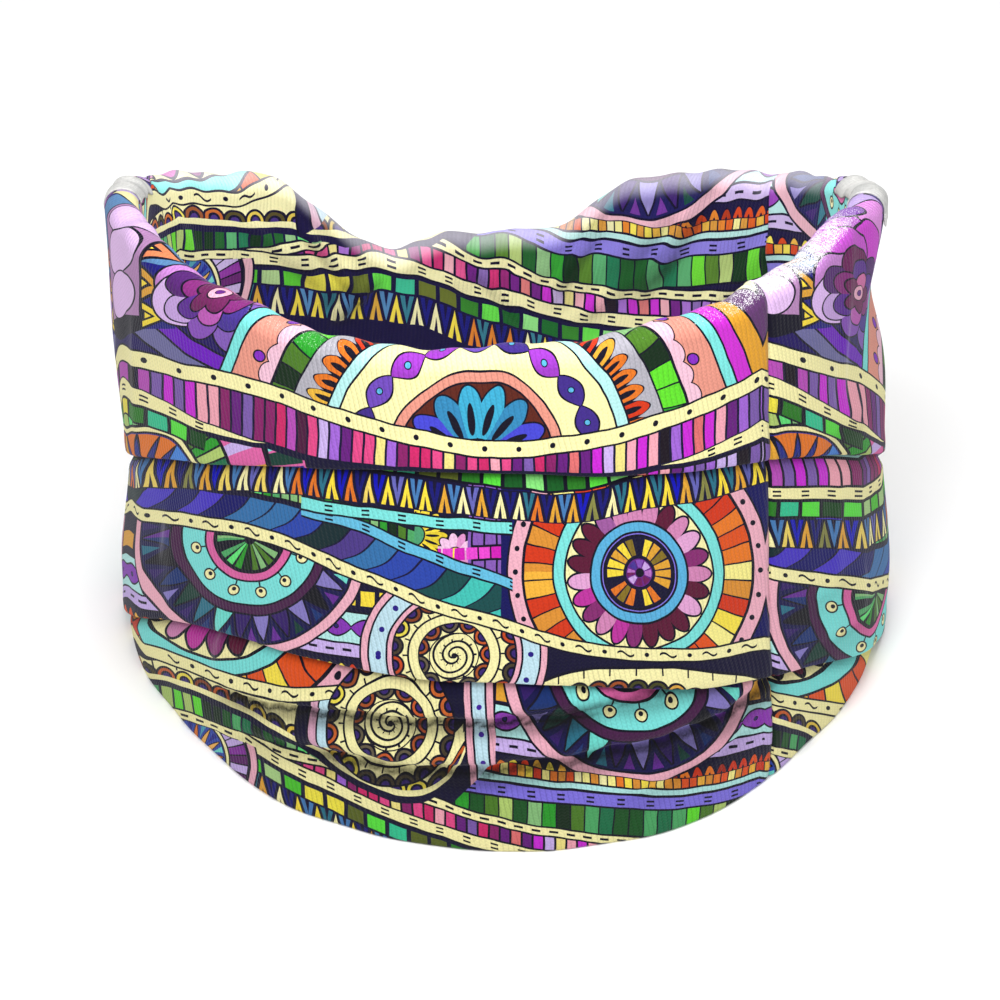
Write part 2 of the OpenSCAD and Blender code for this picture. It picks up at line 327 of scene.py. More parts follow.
def sheet(name, centre, thick, uvs, attributes=None, ring=False):
    """A closed ply: a grid of centre points (columns x rows) given a thickness and rounded
    ends. UVs and attributes are grids too; both faces share them."""
    columns_n, rows_n = centre.shape[:2]
    row = np.arange(rows_n)
    from_end = np.minimum(row, rows_n - 1 - row).astype(float)
    taper = np.sqrt(1 - (1 - np.clip((from_end + 0.35) / 2.2, 0, 1)) ** 2)
    half = np.full((columns_n, rows_n), thick, float) * taper[None] / 2
    normal = np.cross(np.gradient(centre, axis=0), np.gradient(centre, axis=1))
    normal = normal / np.maximum(np.linalg.norm(normal, axis=-1, keepdims=True), 1e-9)
    offset = normal * half[..., None]
    verts = np.concatenate([(centre + offset).reshape(-1, 3),
                            (centre - offset).reshape(-1, 3)]) / 1000.0
    count = columns_n * rows_n
    ids = np.arange(count).reshape(columns_n, rows_n)
    if ring:
        ids = np.concatenate([ids, ids[:1]])
    corners = [ids[:-1, :-1], ids[1:, :-1], ids[1:, 1:], ids[:-1, 1:]]
    bottom, top = ids[:, 0], ids[:, -1]
    faces = [np.stack(corners, -1).reshape(-1, 4),
             np.stack(corners[::-1], -1).reshape(-1, 4) + count,
             np.stack([bottom[1:], bottom[:-1], bottom[:-1] + count, bottom[1:] + count], -1),
             np.stack([top[:-1], top[1:], top[1:] + count, top[:-1] + count], -1)]
    if not ring:
        for end, flip in ((ids[0], False), (ids[-1], True)):
            quads = np.stack([end[:-1], end[1:], end[1:] + count, end[:-1] + count], -1)
            faces.append(quads[:, ::-1] if flip else quads)
    faces = np.concatenate(faces)
    mesh = bpy.data.meshes.new(name)
    mesh.vertices.add(len(verts))
    mesh.vertices.foreach_set("co", verts.astype(np.float32).ravel())
    mesh.loops.add(faces.size)
    mesh.loops.foreach_set("vertex_index", faces.astype(np.int32).ravel())
    mesh.polygons.add(len(faces))
    mesh.polygons.foreach_set("loop_start", np.arange(0, faces.size, 4, dtype=np.int32))
    mesh.update(calc_edges=True)
    uvs = {key: np.tile(grid.reshape(-1, 2), (2, 1)) for key, grid in uvs.items()}
    attributes = {key: np.tile(grid.ravel(), 2) for key, grid in (attributes or {}).items()}
    return finish_mesh(mesh, uvs, attributes)


def rope(path, radius, sides, lobes, turns, lobe, closed=False):
    """A twisted cord along a path, as (points, quads, end caps, lengths along, sides)."""
    count = len(path)
    if closed:
        tangent = np.roll(path, -1, 0) - np.roll(path, 1, 0)
    else:
        tangent = np.gradient(path, axis=0)
    tangent /= np.linalg.norm(tangent, axis=1, keepdims=True)
    side = np.cross(tangent, np.array([0, 0, 1.0]))
    side /= np.maximum(np.linalg.norm(side, axis=1, keepdims=True), 1e-9)
    normal = np.cross(side, tangent)
    steps = np.linalg.norm(np.diff(path, axis=0), axis=1)
    length = np.concatenate([[0], np.cumsum(steps)])
    around = np.arange(sides) / sides * math.tau
    share = np.arange(count) / count if closed else length / length[-1]
    twist = share * math.tau * turns
    spread = radius * (1 + lobe * np.cos(lobes * (around[None] - twist[:, None])))
    if not closed:
        from_end = np.minimum(np.arange(count), count - 1 - np.arange(count))
        taper = np.sqrt(1 - (1 - np.clip((from_end + 0.4) / 2.0, 0, 1)) ** 2)
        spread = spread * taper[:, None]
    points = path[:, None] + spread[..., None] * (
        np.cos(around)[None, :, None] * normal[:, None]
        + np.sin(around)[None, :, None] * side[:, None])
    ids = np.arange(count * sides).reshape(count, sides)
    rows = np.concatenate([ids, ids[:1]]) if closed else ids
    after = np.roll(rows, -1, 1)
    quads = np.stack([rows[:-1], after[:-1], after[1:], rows[1:]], -1).reshape(-1, 4)
    caps = [] if closed else [ids[0][::-1], ids[-1]]
    return points.reshape(-1, 3), quads, caps, length, sides


def rope_object(name, ropes):
    """Ropes joined into one object, with knit coordinates."""
    verts, faces, uvs, base = [], [], [], 0
    for points, quads, caps, length, sides in ropes:
        verts.append(points)
        faces += (quads + base).tolist() + [(cap + base).tolist() for cap in caps]
        uvs.append(np.stack([np.tile(np.arange(sides) * 0.35, len(length)),
                             np.repeat(length, sides)], -1))
        base += len(points)
    mesh = bpy.data.meshes.new(name)
    mesh.from_pydata((np.concatenate(verts) / 1000.0).tolist(), [], faces)
    return finish_mesh(mesh, {"knit": np.concatenate(uvs) / 100.0})


def columns(start, end, step=COLUMN_STEP):
    """A column of angles that stops just short of the seams."""
    count = max(2, int(round((end - start) / step)))
    return np.linspace(start + 0.03, end - 0.03, count + 1)[:, None]


# ---------------------------------------------------------------- UV coordinates
def flat_uv(x, y):
    """Coordinates in mm as a UV map of 100 mm units."""
    return np.stack([x + 0 * y, y + 0 * x], -1) / 100.0


def knit_uv(angle, z):
    """Length round the hem from the front centre, and height."""
    angles = np.linspace(-240, 140, 3801)
    steps = np.linalg.norm(np.diff(body_point(angles, 0, 0), axis=0), axis=1)
    length = np.concatenate([[0], np.cumsum(steps)])
    length -= np.interp(0, angles, length)
    return flat_uv(np.interp(angle, angles, length), z)


def print_uv(angle, z, hem, shift, out):
    """The flat view in front, carried round the sides at true scale along the hem."""
    front = np.clip(angle, -68, 68)
    middle = np.clip(angle, -94, 94)
    x, y = view_place(at(front, z + hem(front) - hem(angle), out))
    near_rate, far_rate = 4.6, 6.3     # print units per degree, up to 94 degrees and beyond
    x = x + (middle - front) * near_rate + (angle - middle) * far_rate
    return np.stack([x + shift[0], y + shift[1]], -1) / 1000.0


def lining_uv(angle, z, shift):
    """The lining as seen on the inside of the back; angles run below zero."""
    back = np.clip(angle, -248, -112)
    x, y = view_place(at(back, z, -7.7))
    x = x - (angle - back) * 5.6 + shift[0]
    y = y + shift[1]
    return np.stack([x + 10 - 20 * smooth((x - 200) / 300.0),
                     y + 550 - 90 * smooth((420 - x) / 300.0) ** 0.8], -1) / 1000.0


# ---------------------------------------------------------------- node graphs
def linear(colour):
    """A 0-255 sRGB colour as a linear RGBA."""
    parts = [part / 255.0 for part in colour]
    return (*(p / 12.92 if p <= 0.04045 else ((p + 0.055) / 1.055) ** 2.4 for p in parts), 1.0)


class Value:
    """A value in a node graph, with arithmetic, and comparisons that give 0 or 1."""

    def __init__(self, graph, socket):
        self.graph, self.socket = graph, socket

    def __add__(self, other):
        if isinstance(other, (int, float)) and other == 0:
            return self
        return self.graph.math("ADD", self, other)

    def __radd__(self, other):
        return self + other

    def __sub__(self, other):
        return self.graph.math("SUBTRACT", self, other)

    def __rsub__(self, other):
        return self.graph.math("SUBTRACT", other, self)

    def __mul__(self, other):
        if isinstance(other, (int, float)) and other == 1:
            return self
        return self.graph.math("MULTIPLY", self, other)

    def __truediv__(self, number):
        return self * (1.0 / number)

    def __neg__(self):
        return self.graph.math("MULTIPLY", self, -1.0)

    def __abs__(self):
        return self.graph.math("ABSOLUTE", self)

    def __lt__(self, other):
        return self.graph.math("LESS_THAN", self, other)

    def __gt__(self, other):
        return self.graph.math("GREATER_THAN", self, other)


class Graph:
    """Builds shader nodes; equal maths nodes are made once."""

    def __init__(self, tree):
        self.tree, self.cache = tree, {}

    def node(self, kind, **props):
        node = self.tree.nodes.new(kind)
        for key, value in props.items():
            setattr(node, key, value)
        return node

    def wire(self, value, socket):
        if isinstance(value, Value):
            self.tree.links.new(value.socket, socket)
        else:
            socket.default_value = value

    def math(self, op, *args):
        key = (op,) + tuple((id(a.socket.node), a.socket.identifier) if isinstance(a, Value)
                            else round(float(a), 9) for a in args)
        if key in self.cache:
            return self.cache[key]
        node = self.node("ShaderNodeMath", operation=op)
        for i, arg in enumerate(args):
            self.wire(arg, node.inputs[i])
        self.cache[key] = Value(self, node.outputs[0])
        return self.cache[key]

    def fma(self, value, factor, offset):
        """value * factor + offset, as one node."""
        return self.math("MULTIPLY_ADD", value, factor, offset)

    def curve(self, x, points, top=1000.0):
        """y = f(x) through the (x, y) points, as a curve node; y runs from 0 to top."""
        first, last = points[0][0], points[-1][0]
        node = self.node("ShaderNodeFloatCurve")
        curve = node.mapping.curves[0]
        while len(curve.points) < len(points):
            curve.points.new(0.5, 0.5)
        for knot, (point_x, point_y) in zip(curve.points, points):
            knot.location = ((point_x - first) / (last - first), point_y / top)
        node.mapping.update()
        self.wire((x - first) / (last - first), node.inputs["Value"])
        return Value(self, node.outputs[0]) * top

    def pick(self, along, pitch, seed, colours):
        """A colour of the list for each cell, chosen by a hash of the cell's number."""
        noise = self.node("ShaderNodeTexWhiteNoise", noise_dimensions="1D")
        self.wire(self.math("ROUND", along / pitch) + seed, noise.inputs["W"])
        ramp = self.node("ShaderNodeValToRGB")
        ramp.color_ramp.interpolation = "CONSTANT"
        stops = ramp.color_ramp.elements
        while len(stops) < len(colours):
            stops.new(0.5)
        for i, colour in enumerate(colours):
            stops[i].position = i / len(colours)
            stops[i].color = linear(colour)
        self.tree.links.new(noise.outputs["Value"], ramp.inputs["Fac"])
        return Value(self, ramp.outputs["Color"])

    def mix(self, share, first, second, blend="MIX"):
        node = self.node("ShaderNodeMix", data_type="RGBA", blend_type=blend)
        self.wire(share, node.inputs[0])
        for colour, i in ((first, 6), (second, 7)):
            self.wire(colour if isinstance(colour, Value) else linear(colour), node.inputs[i])
        return Value(self, node.outputs[2])

    def uv(self, name, scale):
        node = self.node("ShaderNodeUVMap", uv_map=name)
        parts = self.node("ShaderNodeSeparateXYZ")
        self.tree.links.new(node.outputs[0], parts.inputs[0])
        return Value(self, parts.outputs[0]) * scale, Value(self, parts.outputs[1]) * scale

    def noise(self, x, y, scale, detail, z=0.0):
        place = self.node("ShaderNodeCombineXYZ")
        self.wire(x, place.inputs[0])
        self.wire(y, place.inputs[1])
        place.inputs[2].default_value = z
        node = self.node("ShaderNodeTexNoise", noise_dimensions="3D")
        self.tree.links.new(place.outputs[0], node.inputs["Vector"])
        node.inputs["Scale"].default_value = scale
        node.inputs["Detail"].default_value = detail
        return Value(self, node.outputs["Fac"])

    def step(self, value, low, high):
        node = self.node("ShaderNodeMapRange", interpolation_type="SMOOTHSTEP")
        self.wire(value, node.inputs["Value"])
        self.wire(low, node.inputs["From Min"])
        self.wire(high, node.inputs["From Max"])
        return Value(self, node.outputs["Result"])

    def attribute(self, name):
        node = self.node("ShaderNodeAttribute", attribute_name=name)
        return Value(self, node.outputs["Fac"])


# ---------------------------------------------------------------- colours of the print
NAVY, INK = (26, 18, 68), (18, 12, 48)
CREAM = (244, 238, 186)
AQUA, PALE_AQUA = (142, 226, 222), (190, 232, 230)
LIGHT_BLUE, PERIWINKLE = (110, 186, 222), (146, 134, 224)
PINK, ROSE, SALMON = (236, 186, 200), (222, 120, 176), (228, 164, 148)
LAVENDER, PURPLE, PLUM, GREY = (206, 186, 232), (122, 52, 150), (92, 44, 92), (186, 184, 192)
YELLOW, GOLD, ORANGE, RED = (244, 222, 84), (226, 176, 72), (226, 136, 52), (214, 76, 34)
GREENS = [(118, 222, 62), (60, 168, 60), (36, 104, 50), (18, 60, 30), (98, 178, 120),
          (150, 196, 140), (96, 140, 52), (120, 230, 140), (40, 130, 92), (186, 208, 130),
          (74, 196, 96)]
PINKS = [(206, 56, 214), (172, 120, 214), (208, 56, 122), (150, 44, 120), (238, 178, 190),
         (120, 40, 140), (190, 96, 190), (224, 92, 150), (206, 186, 232), (96, 30, 80),
         (222, 130, 130), (140, 110, 180), (236, 224, 150), (36, 16, 40)]
WARMS = [(214, 76, 34), (232, 140, 52), (240, 190, 80), (244, 226, 96), (226, 104, 40),
         (222, 160, 70), (246, 238, 160)]
COOLS = [(30, 40, 150), (60, 130, 150), (120, 60, 160), (130, 220, 210), (36, 70, 130),
         (150, 140, 200), (70, 40, 120), (26, 80, 70), (90, 170, 190), (24, 24, 40)]
SQUARES = [(96, 200, 60), (60, 140, 50), (110, 120, 50), (236, 226, 90), (110, 224, 84),
           (150, 226, 140), (30, 110, 50), (70, 200, 160), (180, 210, 150), (28, 90, 40)]
BLUES = [(24, 22, 120), (20, 24, 190), (60, 90, 180), (70, 130, 180), (20, 60, 66),
         (30, 96, 96), (60, 140, 130), (86, 200, 190), (96, 76, 150), (92, 72, 200),
         (28, 40, 96)]
VIOLETS = [(150, 100, 190), (104, 50, 130), (176, 60, 190), (206, 176, 226), (128, 40, 110),
           (92, 70, 160), (190, 130, 200)]


class Painter(Graph):
    """Lays shapes over one another in print units. 'along' runs along a row of shapes and
    'across' runs across it; the product of two masks is where both hold."""

    def begin(self, base):
        self.colour = self.mix(0.0, base, base)
        self.clip = None

    def put(self, mask, fill):
        if self.clip is not None:
            mask = mask * self.clip
        self.colour = self.mix(mask, self.colour, fill)

    def cell(self, along, pitch):
        """Offset from the middle of the cell."""
        return self.math("WRAP", along, pitch / 2.0, -pitch / 2.0)

    def near(self, value, centre, half):
        return self.math("COMPARE", value, centre, half)

    def square(self, x, y):
        return self.fma(x, x, y * y)

    def length(self, x, y):
        return self.math("SQRT", self.square(x, y))

    def arch(self, offset, drop, height):
        return self.fma(offset * offset, -drop, height)

    def arc(self, radius, angle, count, phase=0):
        """Offset along the circle from the middle of one of count sectors."""
        return self.cell(angle * (count / math.tau) + phase, 1) * radius * (math.tau / count)

    def distance(self, x, y, centre_x, centre_y):
        return self.length(x - centre_x, y - centre_y)

    def polar(self, x, y, centre_x, centre_y, squash=1):
        off_x, off_y = x - centre_x, (y - centre_y) * squash
        return self.length(off_x, off_y), self.math("ARCTAN2", off_y, off_x)

    def band(self, across, centre, height, fill):
        self.put(self.near(across, centre, height / 2.0 + 2), INK)
        self.put(self.near(across, centre, height / 2.0), fill)

    def stripes(self, along, pitch, half, colours, seed):
        self.put(self.near(self.cell(along, pitch), 0, half),
                 self.pick(along, pitch, seed, colours))

    def blocks(self, across, centre, height, along, pitch, colours, seed, gap=2.3,
               outline=True):
        if outline:
            self.put(self.near(across, centre, height / 2.0 + 2), INK)
        mask = (self.near(across, centre, height / 2.0)
                * self.near(self.cell(along, pitch), 0, pitch / 2.0 - gap / 2.0))
        self.put(mask, self.pick(along, pitch, seed, colours))

    def dots(self, across, centre, along, pitch, radius, fill):
        spot = self.square(self.cell(along, pitch), across - centre)
        self.put(spot < radius * radius, fill)

    def twins(self, across, centre, along, pitch):
        """Pairs of short strokes."""
        self.put(self.near(self.cell(along, pitch), 0, 3.8)
                 * self.near(abs(across - centre), 2.2, 1.0), INK)

    def dashes(self, across, centre, along, pitch):
        self.put(self.near(self.cell(along, pitch), 0, 4.4)
                 * self.near(across, centre, 1.25), INK)

    def waves(self, across, centre, along, pitch):
        """Short wave strokes with a dot between them."""
        offset = self.cell(along, pitch)
        wave = self.math("SINE", offset * (math.tau / 17.0)) * 2.3
        self.put(self.near(offset, 0, 7.9) * self.near(across - centre, wave, 1.15), INK)
        self.dots(across, centre, along + pitch / 2.0, pitch, 2.3, INK)

    def lenses(self, across, centre, along, pitch, height, fill, dot, dot_radius=2.6):
        offset = self.cell(along, pitch)
        edge = self.arch(offset, height * 4.0 / (pitch * pitch), height)
        away = abs(across - centre)
        self.put(away < edge + 2, INK)
        self.put(away < edge, fill)
        self.dots(across, centre, along, pitch, dot_radius + 1.1, INK)
        self.dots(across, centre, along, pitch, dot_radius, dot)

    def loops(self, across, base, height, along, pitch, colours, seed):
        """A row of slit petals standing on the base, pointing the way 'across' grows."""
        offset = self.cell(along, pitch)
        rise = across - base
        drop = height * 0.55 / (pitch * 0.46) ** 2
        top = self.arch(offset, drop, height)
        above = rise > 0
        self.put(above * ((rise < top + 1.9) * self.near(offset, 0, pitch * 0.5)), INK)
        mask = above * ((rise < top) * self.near(offset, 0, pitch * 0.39))
        self.put(mask, self.pick(along, pitch, seed, colours))
        slit = self.arch(offset, drop * 4.5, height * 0.68)
        self.put(above * ((rise < slit) * self.near(offset, 0, pitch * 0.17)), INK)

    def scallops(self, across, base, along, pitch, colours, seed, share=0.5):
        """A row of half rounds with a dark eye; share is their radius in pitches."""
        offset = self.cell(along, pitch)
        rise = across - base
        away = self.length(offset, rise)
        above = rise > 0
        radius = pitch * share
        self.put(above * (away < radius + 1.4), INK)
        self.put(above * (away < radius - 0.9), self.pick(along, pitch, seed, colours))
        self.put(above * (away < radius * 0.62), INK)
        self.put(above * (away < radius * 0.40), (74, 50, 132))

    def zigzag(self, across, base, along, up_colours, down_colours):
        """Chevrons standing on the base, with inverted ones hanging between them."""
        height, pitch, seed = 27.0, 18.2, 5.0
        self.put(self.near(across, base + height / 2.0, height / 2.0 + 1.2), NAVY)
        rise = (across - base) / height
        inside = self.near(across, base + height / 2.0, height / 2.0)
        off_up = abs(self.cell(along, pitch)) * (2.0 / pitch)
        off_down = 1.0 - off_up
        for off, level_, colours, place_, pick_seed in (
                (off_down, 1.0 - rise, down_colours, along + pitch / 2.0, seed + 31),
                (off_up, rise, up_colours, along, seed)):
            edge = self.fma(off, -1.45, 0.98)
            self.put(inside * ((level_ < edge + 0.09) * (level_ > -0.01)), INK)
            self.put(inside * (level_ < edge), self.pick(place_, pitch, pick_seed, colours))
            self.put(inside * (level_ < self.fma(off, -2.4, 0.52)), NAVY)

    def discs(self, radius, *discs, line=2.0):
        """Discs of (radius, fill) over one another, each with a dark line round it."""
        for edge, fill in discs:
            self.put(radius < edge + line, INK)
            self.put(radius < edge, fill)

    def spokes(self, radius, angle, inner, outer, count, colours, seed, gap=2.2):
        middle = (inner + outer) / 2.0
        self.blocks(radius, middle, outer - inner, angle * (count / math.tau), 1, colours, seed,
                    gap * count / (math.tau * middle), outline=False)

    def petals(self, radius, angle, middle, half_length, half_width, count, colours, seed,
               slit=False, line=2.0, phase=0):
        """A ring of oval petals centred on the middle radius."""
        along = angle * (count / math.tau) + phase
        offset = self.cell(along, 1) * radius * (math.tau / count)
        rise = radius - middle
        outline = self.square(offset / (half_width + line), rise / (half_length + line))
        self.put(outline < 1, INK)
        self.put(self.square(offset / half_width, rise / half_length) < 1,
                 self.pick(along, 1, seed, colours))
        if slit:
            self.put(self.square(offset / (half_width * 0.3),
                                 (rise + half_length * 0.25) / (half_length * 0.6)) < 1, INK)

    def spikes(self, radius, angle, inner, outer, count, colours, seed, outward=True):
        """A ring of pointed rays with cool ones between them."""
        along = angle * (count / math.tau)
        rise = (radius - inner) / (outer - inner)
        if not outward:
            rise = 1.0 - rise
        inside = self.near(radius, (inner + outer) / 2.0, (outer - inner) / 2.0)
        off = abs(self.cell(along, 1))
        self.put(inside * (off < 0.56 - rise * 0.5), INK)
        self.put(inside * (off < 0.46 - rise * 0.48), self.pick(along, 1, seed, colours))
        self.put(inside * (1.0 - off * 2.0 < self.fma(rise, 0.75, -0.35)),
                 self.pick(along + 0.5, 1, seed + 17, COOLS))


# ---------------------------------------------------------------- motifs of the print
def ray_wheel(art, x, y, centre_x, centre_y, size):
    """A spoked eye, an aqua ring of beads, spikes and a pink rim, drawn at a radius of 122."""
    radius, angle = art.polar(x, y, centre_x, centre_y)
    radius = radius / (size / 122.0)
    art.discs(radius, (122, PINK), (111, (34, 30, 96)))
    art.spikes(radius, angle, 80, 109, 26, COOLS, 3)
    art.discs(radius, (80, PLUM), (70, AQUA))
    arc = art.arc(radius, angle, 12, 0.35)
    art.put(art.near(arc, 0, 0.8) * art.near(radius, 48, 6), INK)
    art.put(art.square(arc, radius - 57) < 42, INK)
    art.put(art.square(arc, radius - 57) < 24, CREAM)
    art.put(art.square(arc, radius - 55.5) < 5, INK)
    art.discs(radius, (44, ROSE), (35, INK))
    art.spokes(radius, angle, 6, 33, 22, GREENS[:8] + [YELLOW, INK], 5, 1.6)


def flower_wheel(art, x, y, centre_x, centre_y, size):
    """An eye, a blue ring, petals, aqua, warm blocks and a dotted rim, drawn at a radius of
    128."""
    radius, angle = art.polar(x, y, centre_x, centre_y, 0.92)
    radius = radius / (size / 128.0)
    art.discs(radius, (128, PINK))
    art.put(art.square(art.arc(radius, angle, 34), radius - 121) < 6.5, INK)
    art.discs(radius, (113, INK))
    art.spokes(radius, angle, 83, 112, 40, WARMS, 2, 1.5)
    art.discs(radius, (82, AQUA), (70.5, CREAM))
    art.petals(radius, angle, 54, 14.5, 7.2, 23,
               [(214, 150, 190), (170, 110, 170), (196, 70, 170), (112, 30, 72),
                (150, 60, 130), (226, 176, 214)], 4)
    art.discs(radius, (46, LIGHT_BLUE), (36, PERIWINKLE), (33, NAVY))
    art.spokes(radius, angle, 16, 31, 20,
               [YELLOW, NAVY, ORANGE, GOLD, NAVY, (150, 130, 50)], 8, 1.6)
    art.discs(radius, (13, PURPLE), line=0.6)
    art.spokes(radius, angle, 5, 12, 8, VIOLETS, 6, 1.2)
    art.discs(radius, (4, INK), line=0.2)


def rosette(art, x, y, centre_x, centre_y, size):
    """Rings of overlapping round petals, drawn at a radius of 50."""
    radius, angle = art.polar(x, y, centre_x, centre_y)
    radius = radius / (size / 50.0)
    # middle radius, half length and half width of the petals, their number, colours, ground
    for i, (middle, half_length, half_width, count, colours, ground) in enumerate((
            (38, 15, 17, 7, VIOLETS, (104, 60, 150)),
            (26, 12, 13, 6, [(150, 60, 140), (196, 110, 190), (112, 60, 160)], (88, 30, 100)),
            (15, 9, 9, 5, [(214, 130, 180), (130, 50, 110)], (88, 30, 100)))):
        art.discs(radius, (middle + 2, ground), line=0.4)
        art.petals(radius, angle, middle, half_length, half_width, count, colours, 2 + i,
                   phase=0.5 * i)
    art.discs(radius, (8, (236, 186, 206)), line=1.2)
    art.discs(radius, (3, PURPLE), line=0.6)


def coil(art, radius, angle, size, pitch):
    """A cream ring with half rounds inside it and a ticked spiral at its centre."""
    art.discs(radius, (size, CREAM))
    art.put(art.near(radius, size + 3.5, 3)
            * art.near(art.cell(angle * size, math.tau * size / 18), 0, 0.8), INK)
    inner = size - 9.5
    art.put(art.near(radius, inner, 1), INK)
    art.scallops(inner - radius, 0.5, angle * (inner - 4), math.tau * (inner - 4) / 11,
                 [(176, 100, 52), (226, 206, 90), (120, 110, 90), (206, 110, 56)], 3, 0.47)
    core = inner - 11
    art.discs(radius, (core, CREAM), line=1.2)
    arm = art.math("WRAP", radius - angle * (pitch * 0.86 / math.tau),
                   pitch * 0.43, -pitch * 0.43)
    inside = radius < core
    ticks = art.near(arm, 5, 1.7) * art.near(art.cell(angle * 16, math.tau * 16 / 11), 0, 0.8)
    art.put(inside * ticks, INK)
    for edge in (3.2, -3.2):
        art.put(inside * art.near(arm, edge, 1.15), INK)
    art.discs(radius, (2.8, INK), line=0.1)


def stacked_bands(art, down, x, blocks, lenses, dashes, loops):
    """Blocks, lenses, dashes and hanging loops under one another, each row at its own level."""
    middle, height = blocks
    art.blocks(down, middle, height, x, 19, [CREAM, YELLOW, GOLD, CREAM, (236, 226, 90)], 3, 5,
               outline=False)
    middle, height, pitch, fill = lenses
    art.band(down, middle, height, PALE_AQUA)
    art.lenses(down, middle, x, pitch, 9, fill, (60, 40, 130), dot_radius=1.6)
    middle, pitch = dashes
    art.band(down, middle, 12, LAVENDER)
    art.dashes(down, middle, x, pitch)
    middle, height, pitch = loops
    art.loops(-down, -middle, height, x, pitch, WARMS[:5] + [(180, 60, 30)], 3)


# ---------------------------------------------------------------- the three prints
def upper_leaves(art, x, y):
    """Violet field at the left: sweeping rings, leaves, round blossoms and a rosette."""
    violet, deep = (128, 34, 196), (46, 16, 112)
    art.discs(art.distance(x, y, 318, 150), (330, (96, 84, 160)), (304, violet), (286, deep),
              (264, (128, 126, 170)), (247, violet), (232, deep), (206, (100, 62, 166)),
              (190, LAVENDER))
    art.clip = x < 166
    art.put((y < 330) * (x > 120), (40, 34, 140))
    art.put((y < 266) * art.near(x, 138, 16), (110, 150, 190))
    # leaves: middle y, half height, left end, length, fill
    for middle, half, left, length, fill in (
            (250, 15, 126, 24, (228, 150, 110)), (284, 17, 128, 27, GOLD),
            (315, 13, 133, 23, YELLOW)):
        share = (x - left) / length
        away = abs(y - middle - (x - left) * 0.18) / half
        inside = x > left + 1.5
        art.put(away < 1.2 - share, INK)
        art.put(inside * (away < 1.0 - share), fill)
        art.put(inside * (away < 0.58 - share), INK)
        art.put((x > left + 3.5) * (away < 0.40 - share), YELLOW)
    art.clip = x < 134
    art.put(y < 318, INK)
    art.clip = x < 131.5
    art.put(y < 316, (190, 150, 192))
    for middle in (206, 250, 294):
        art.discs(art.distance(x, y, 102, middle), (24.5, (230, 200, 238)), line=1.6)
    art.clip = x < 176
    art.put(y < 183, INK)
    art.put(y < 181, CREAM)
    art.clip = None
    # blossoms: centre, radius, fill
    for centre_x, centre_y, size, fill in (
            (182, 214, 34, (200, 120, 214)), (226, 216, 26, (226, 160, 226)),
            (196, 190, 26, (150, 80, 190)), (214, 244, 24, (214, 84, 216)),
            (182, 256, 24, (208, 104, 214)), (236, 304, 20, (214, 80, 212)),
            (172, 282, 26, (206, 150, 214)), (170, 300, 26, (226, 196, 240)),
            (228, 330, 26, (146, 110, 190))):
        art.discs(art.distance(x, y, centre_x, centre_y), (size, fill))
    rosette(art, x, y, 199, 295, 43)


def upper_flower(art, x, y):
    """Concentric rings round the half flower in the middle."""
    radius, angle = art.polar(x, y, 467, 458)
    art.clip = 1.0 - (x < 467)
    art.discs(radius, (430, (240, 206, 232)), (352, CREAM), (327, (116, 76, 126)),
              (306, (224, 172, 66)), (288, (208, 66, 210)))
    art.clip = None
    art.discs(radius, (271, AQUA), (259, SALMON))
    arc = art.arc(radius, angle, 66)
    for size, fill in ((190, INK), (155, (238, 200, 216))):
        spot = art.square(arc, radius - 222) < size
        art.put(art.math("MULTIPLY", spot, 1), fill)
    arc = art.arc(radius, angle, 33, 0.25)
    for size, fill in ((42, INK), (24, (150, 60, 200))):
        art.put(art.square(arc, radius - 240) < size, fill)
    art.discs(radius, (218, INK))
    art.spokes(radius, angle, 194, 217, 62, GREENS, 1, 1.6)
    art.discs(radius, (192, GREY))
    art.loops(radius, 155, 26, angle * 172, 172 * math.tau / 64,
              [ORANGE, GOLD, RED, (232, 190, 80), (240, 170, 90)], 3)
    art.discs(radius, (155, PALE_AQUA), (143, CREAM))
    along, pitch = angle * 117, 117 * math.tau / 20
    fill = art.pick(along, pitch, 9,
                    [(128, 92, 190), (150, 60, 170), (84, 60, 150), (170, 80, 200)])
    art.lenses(radius, 117, along, pitch, 11, fill, LIGHT_BLUE)
    art.discs(radius, (87, SALMON), (76, (112, 52, 36)))
    art.petals(radius, angle, 47, 27, 12.5, 15,
               [(70, 150, 190), (60, 70, 170), (90, 90, 210), (80, 180, 210)], 6, slit=True)
    art.discs(radius, (19, YELLOW), (14, INK))


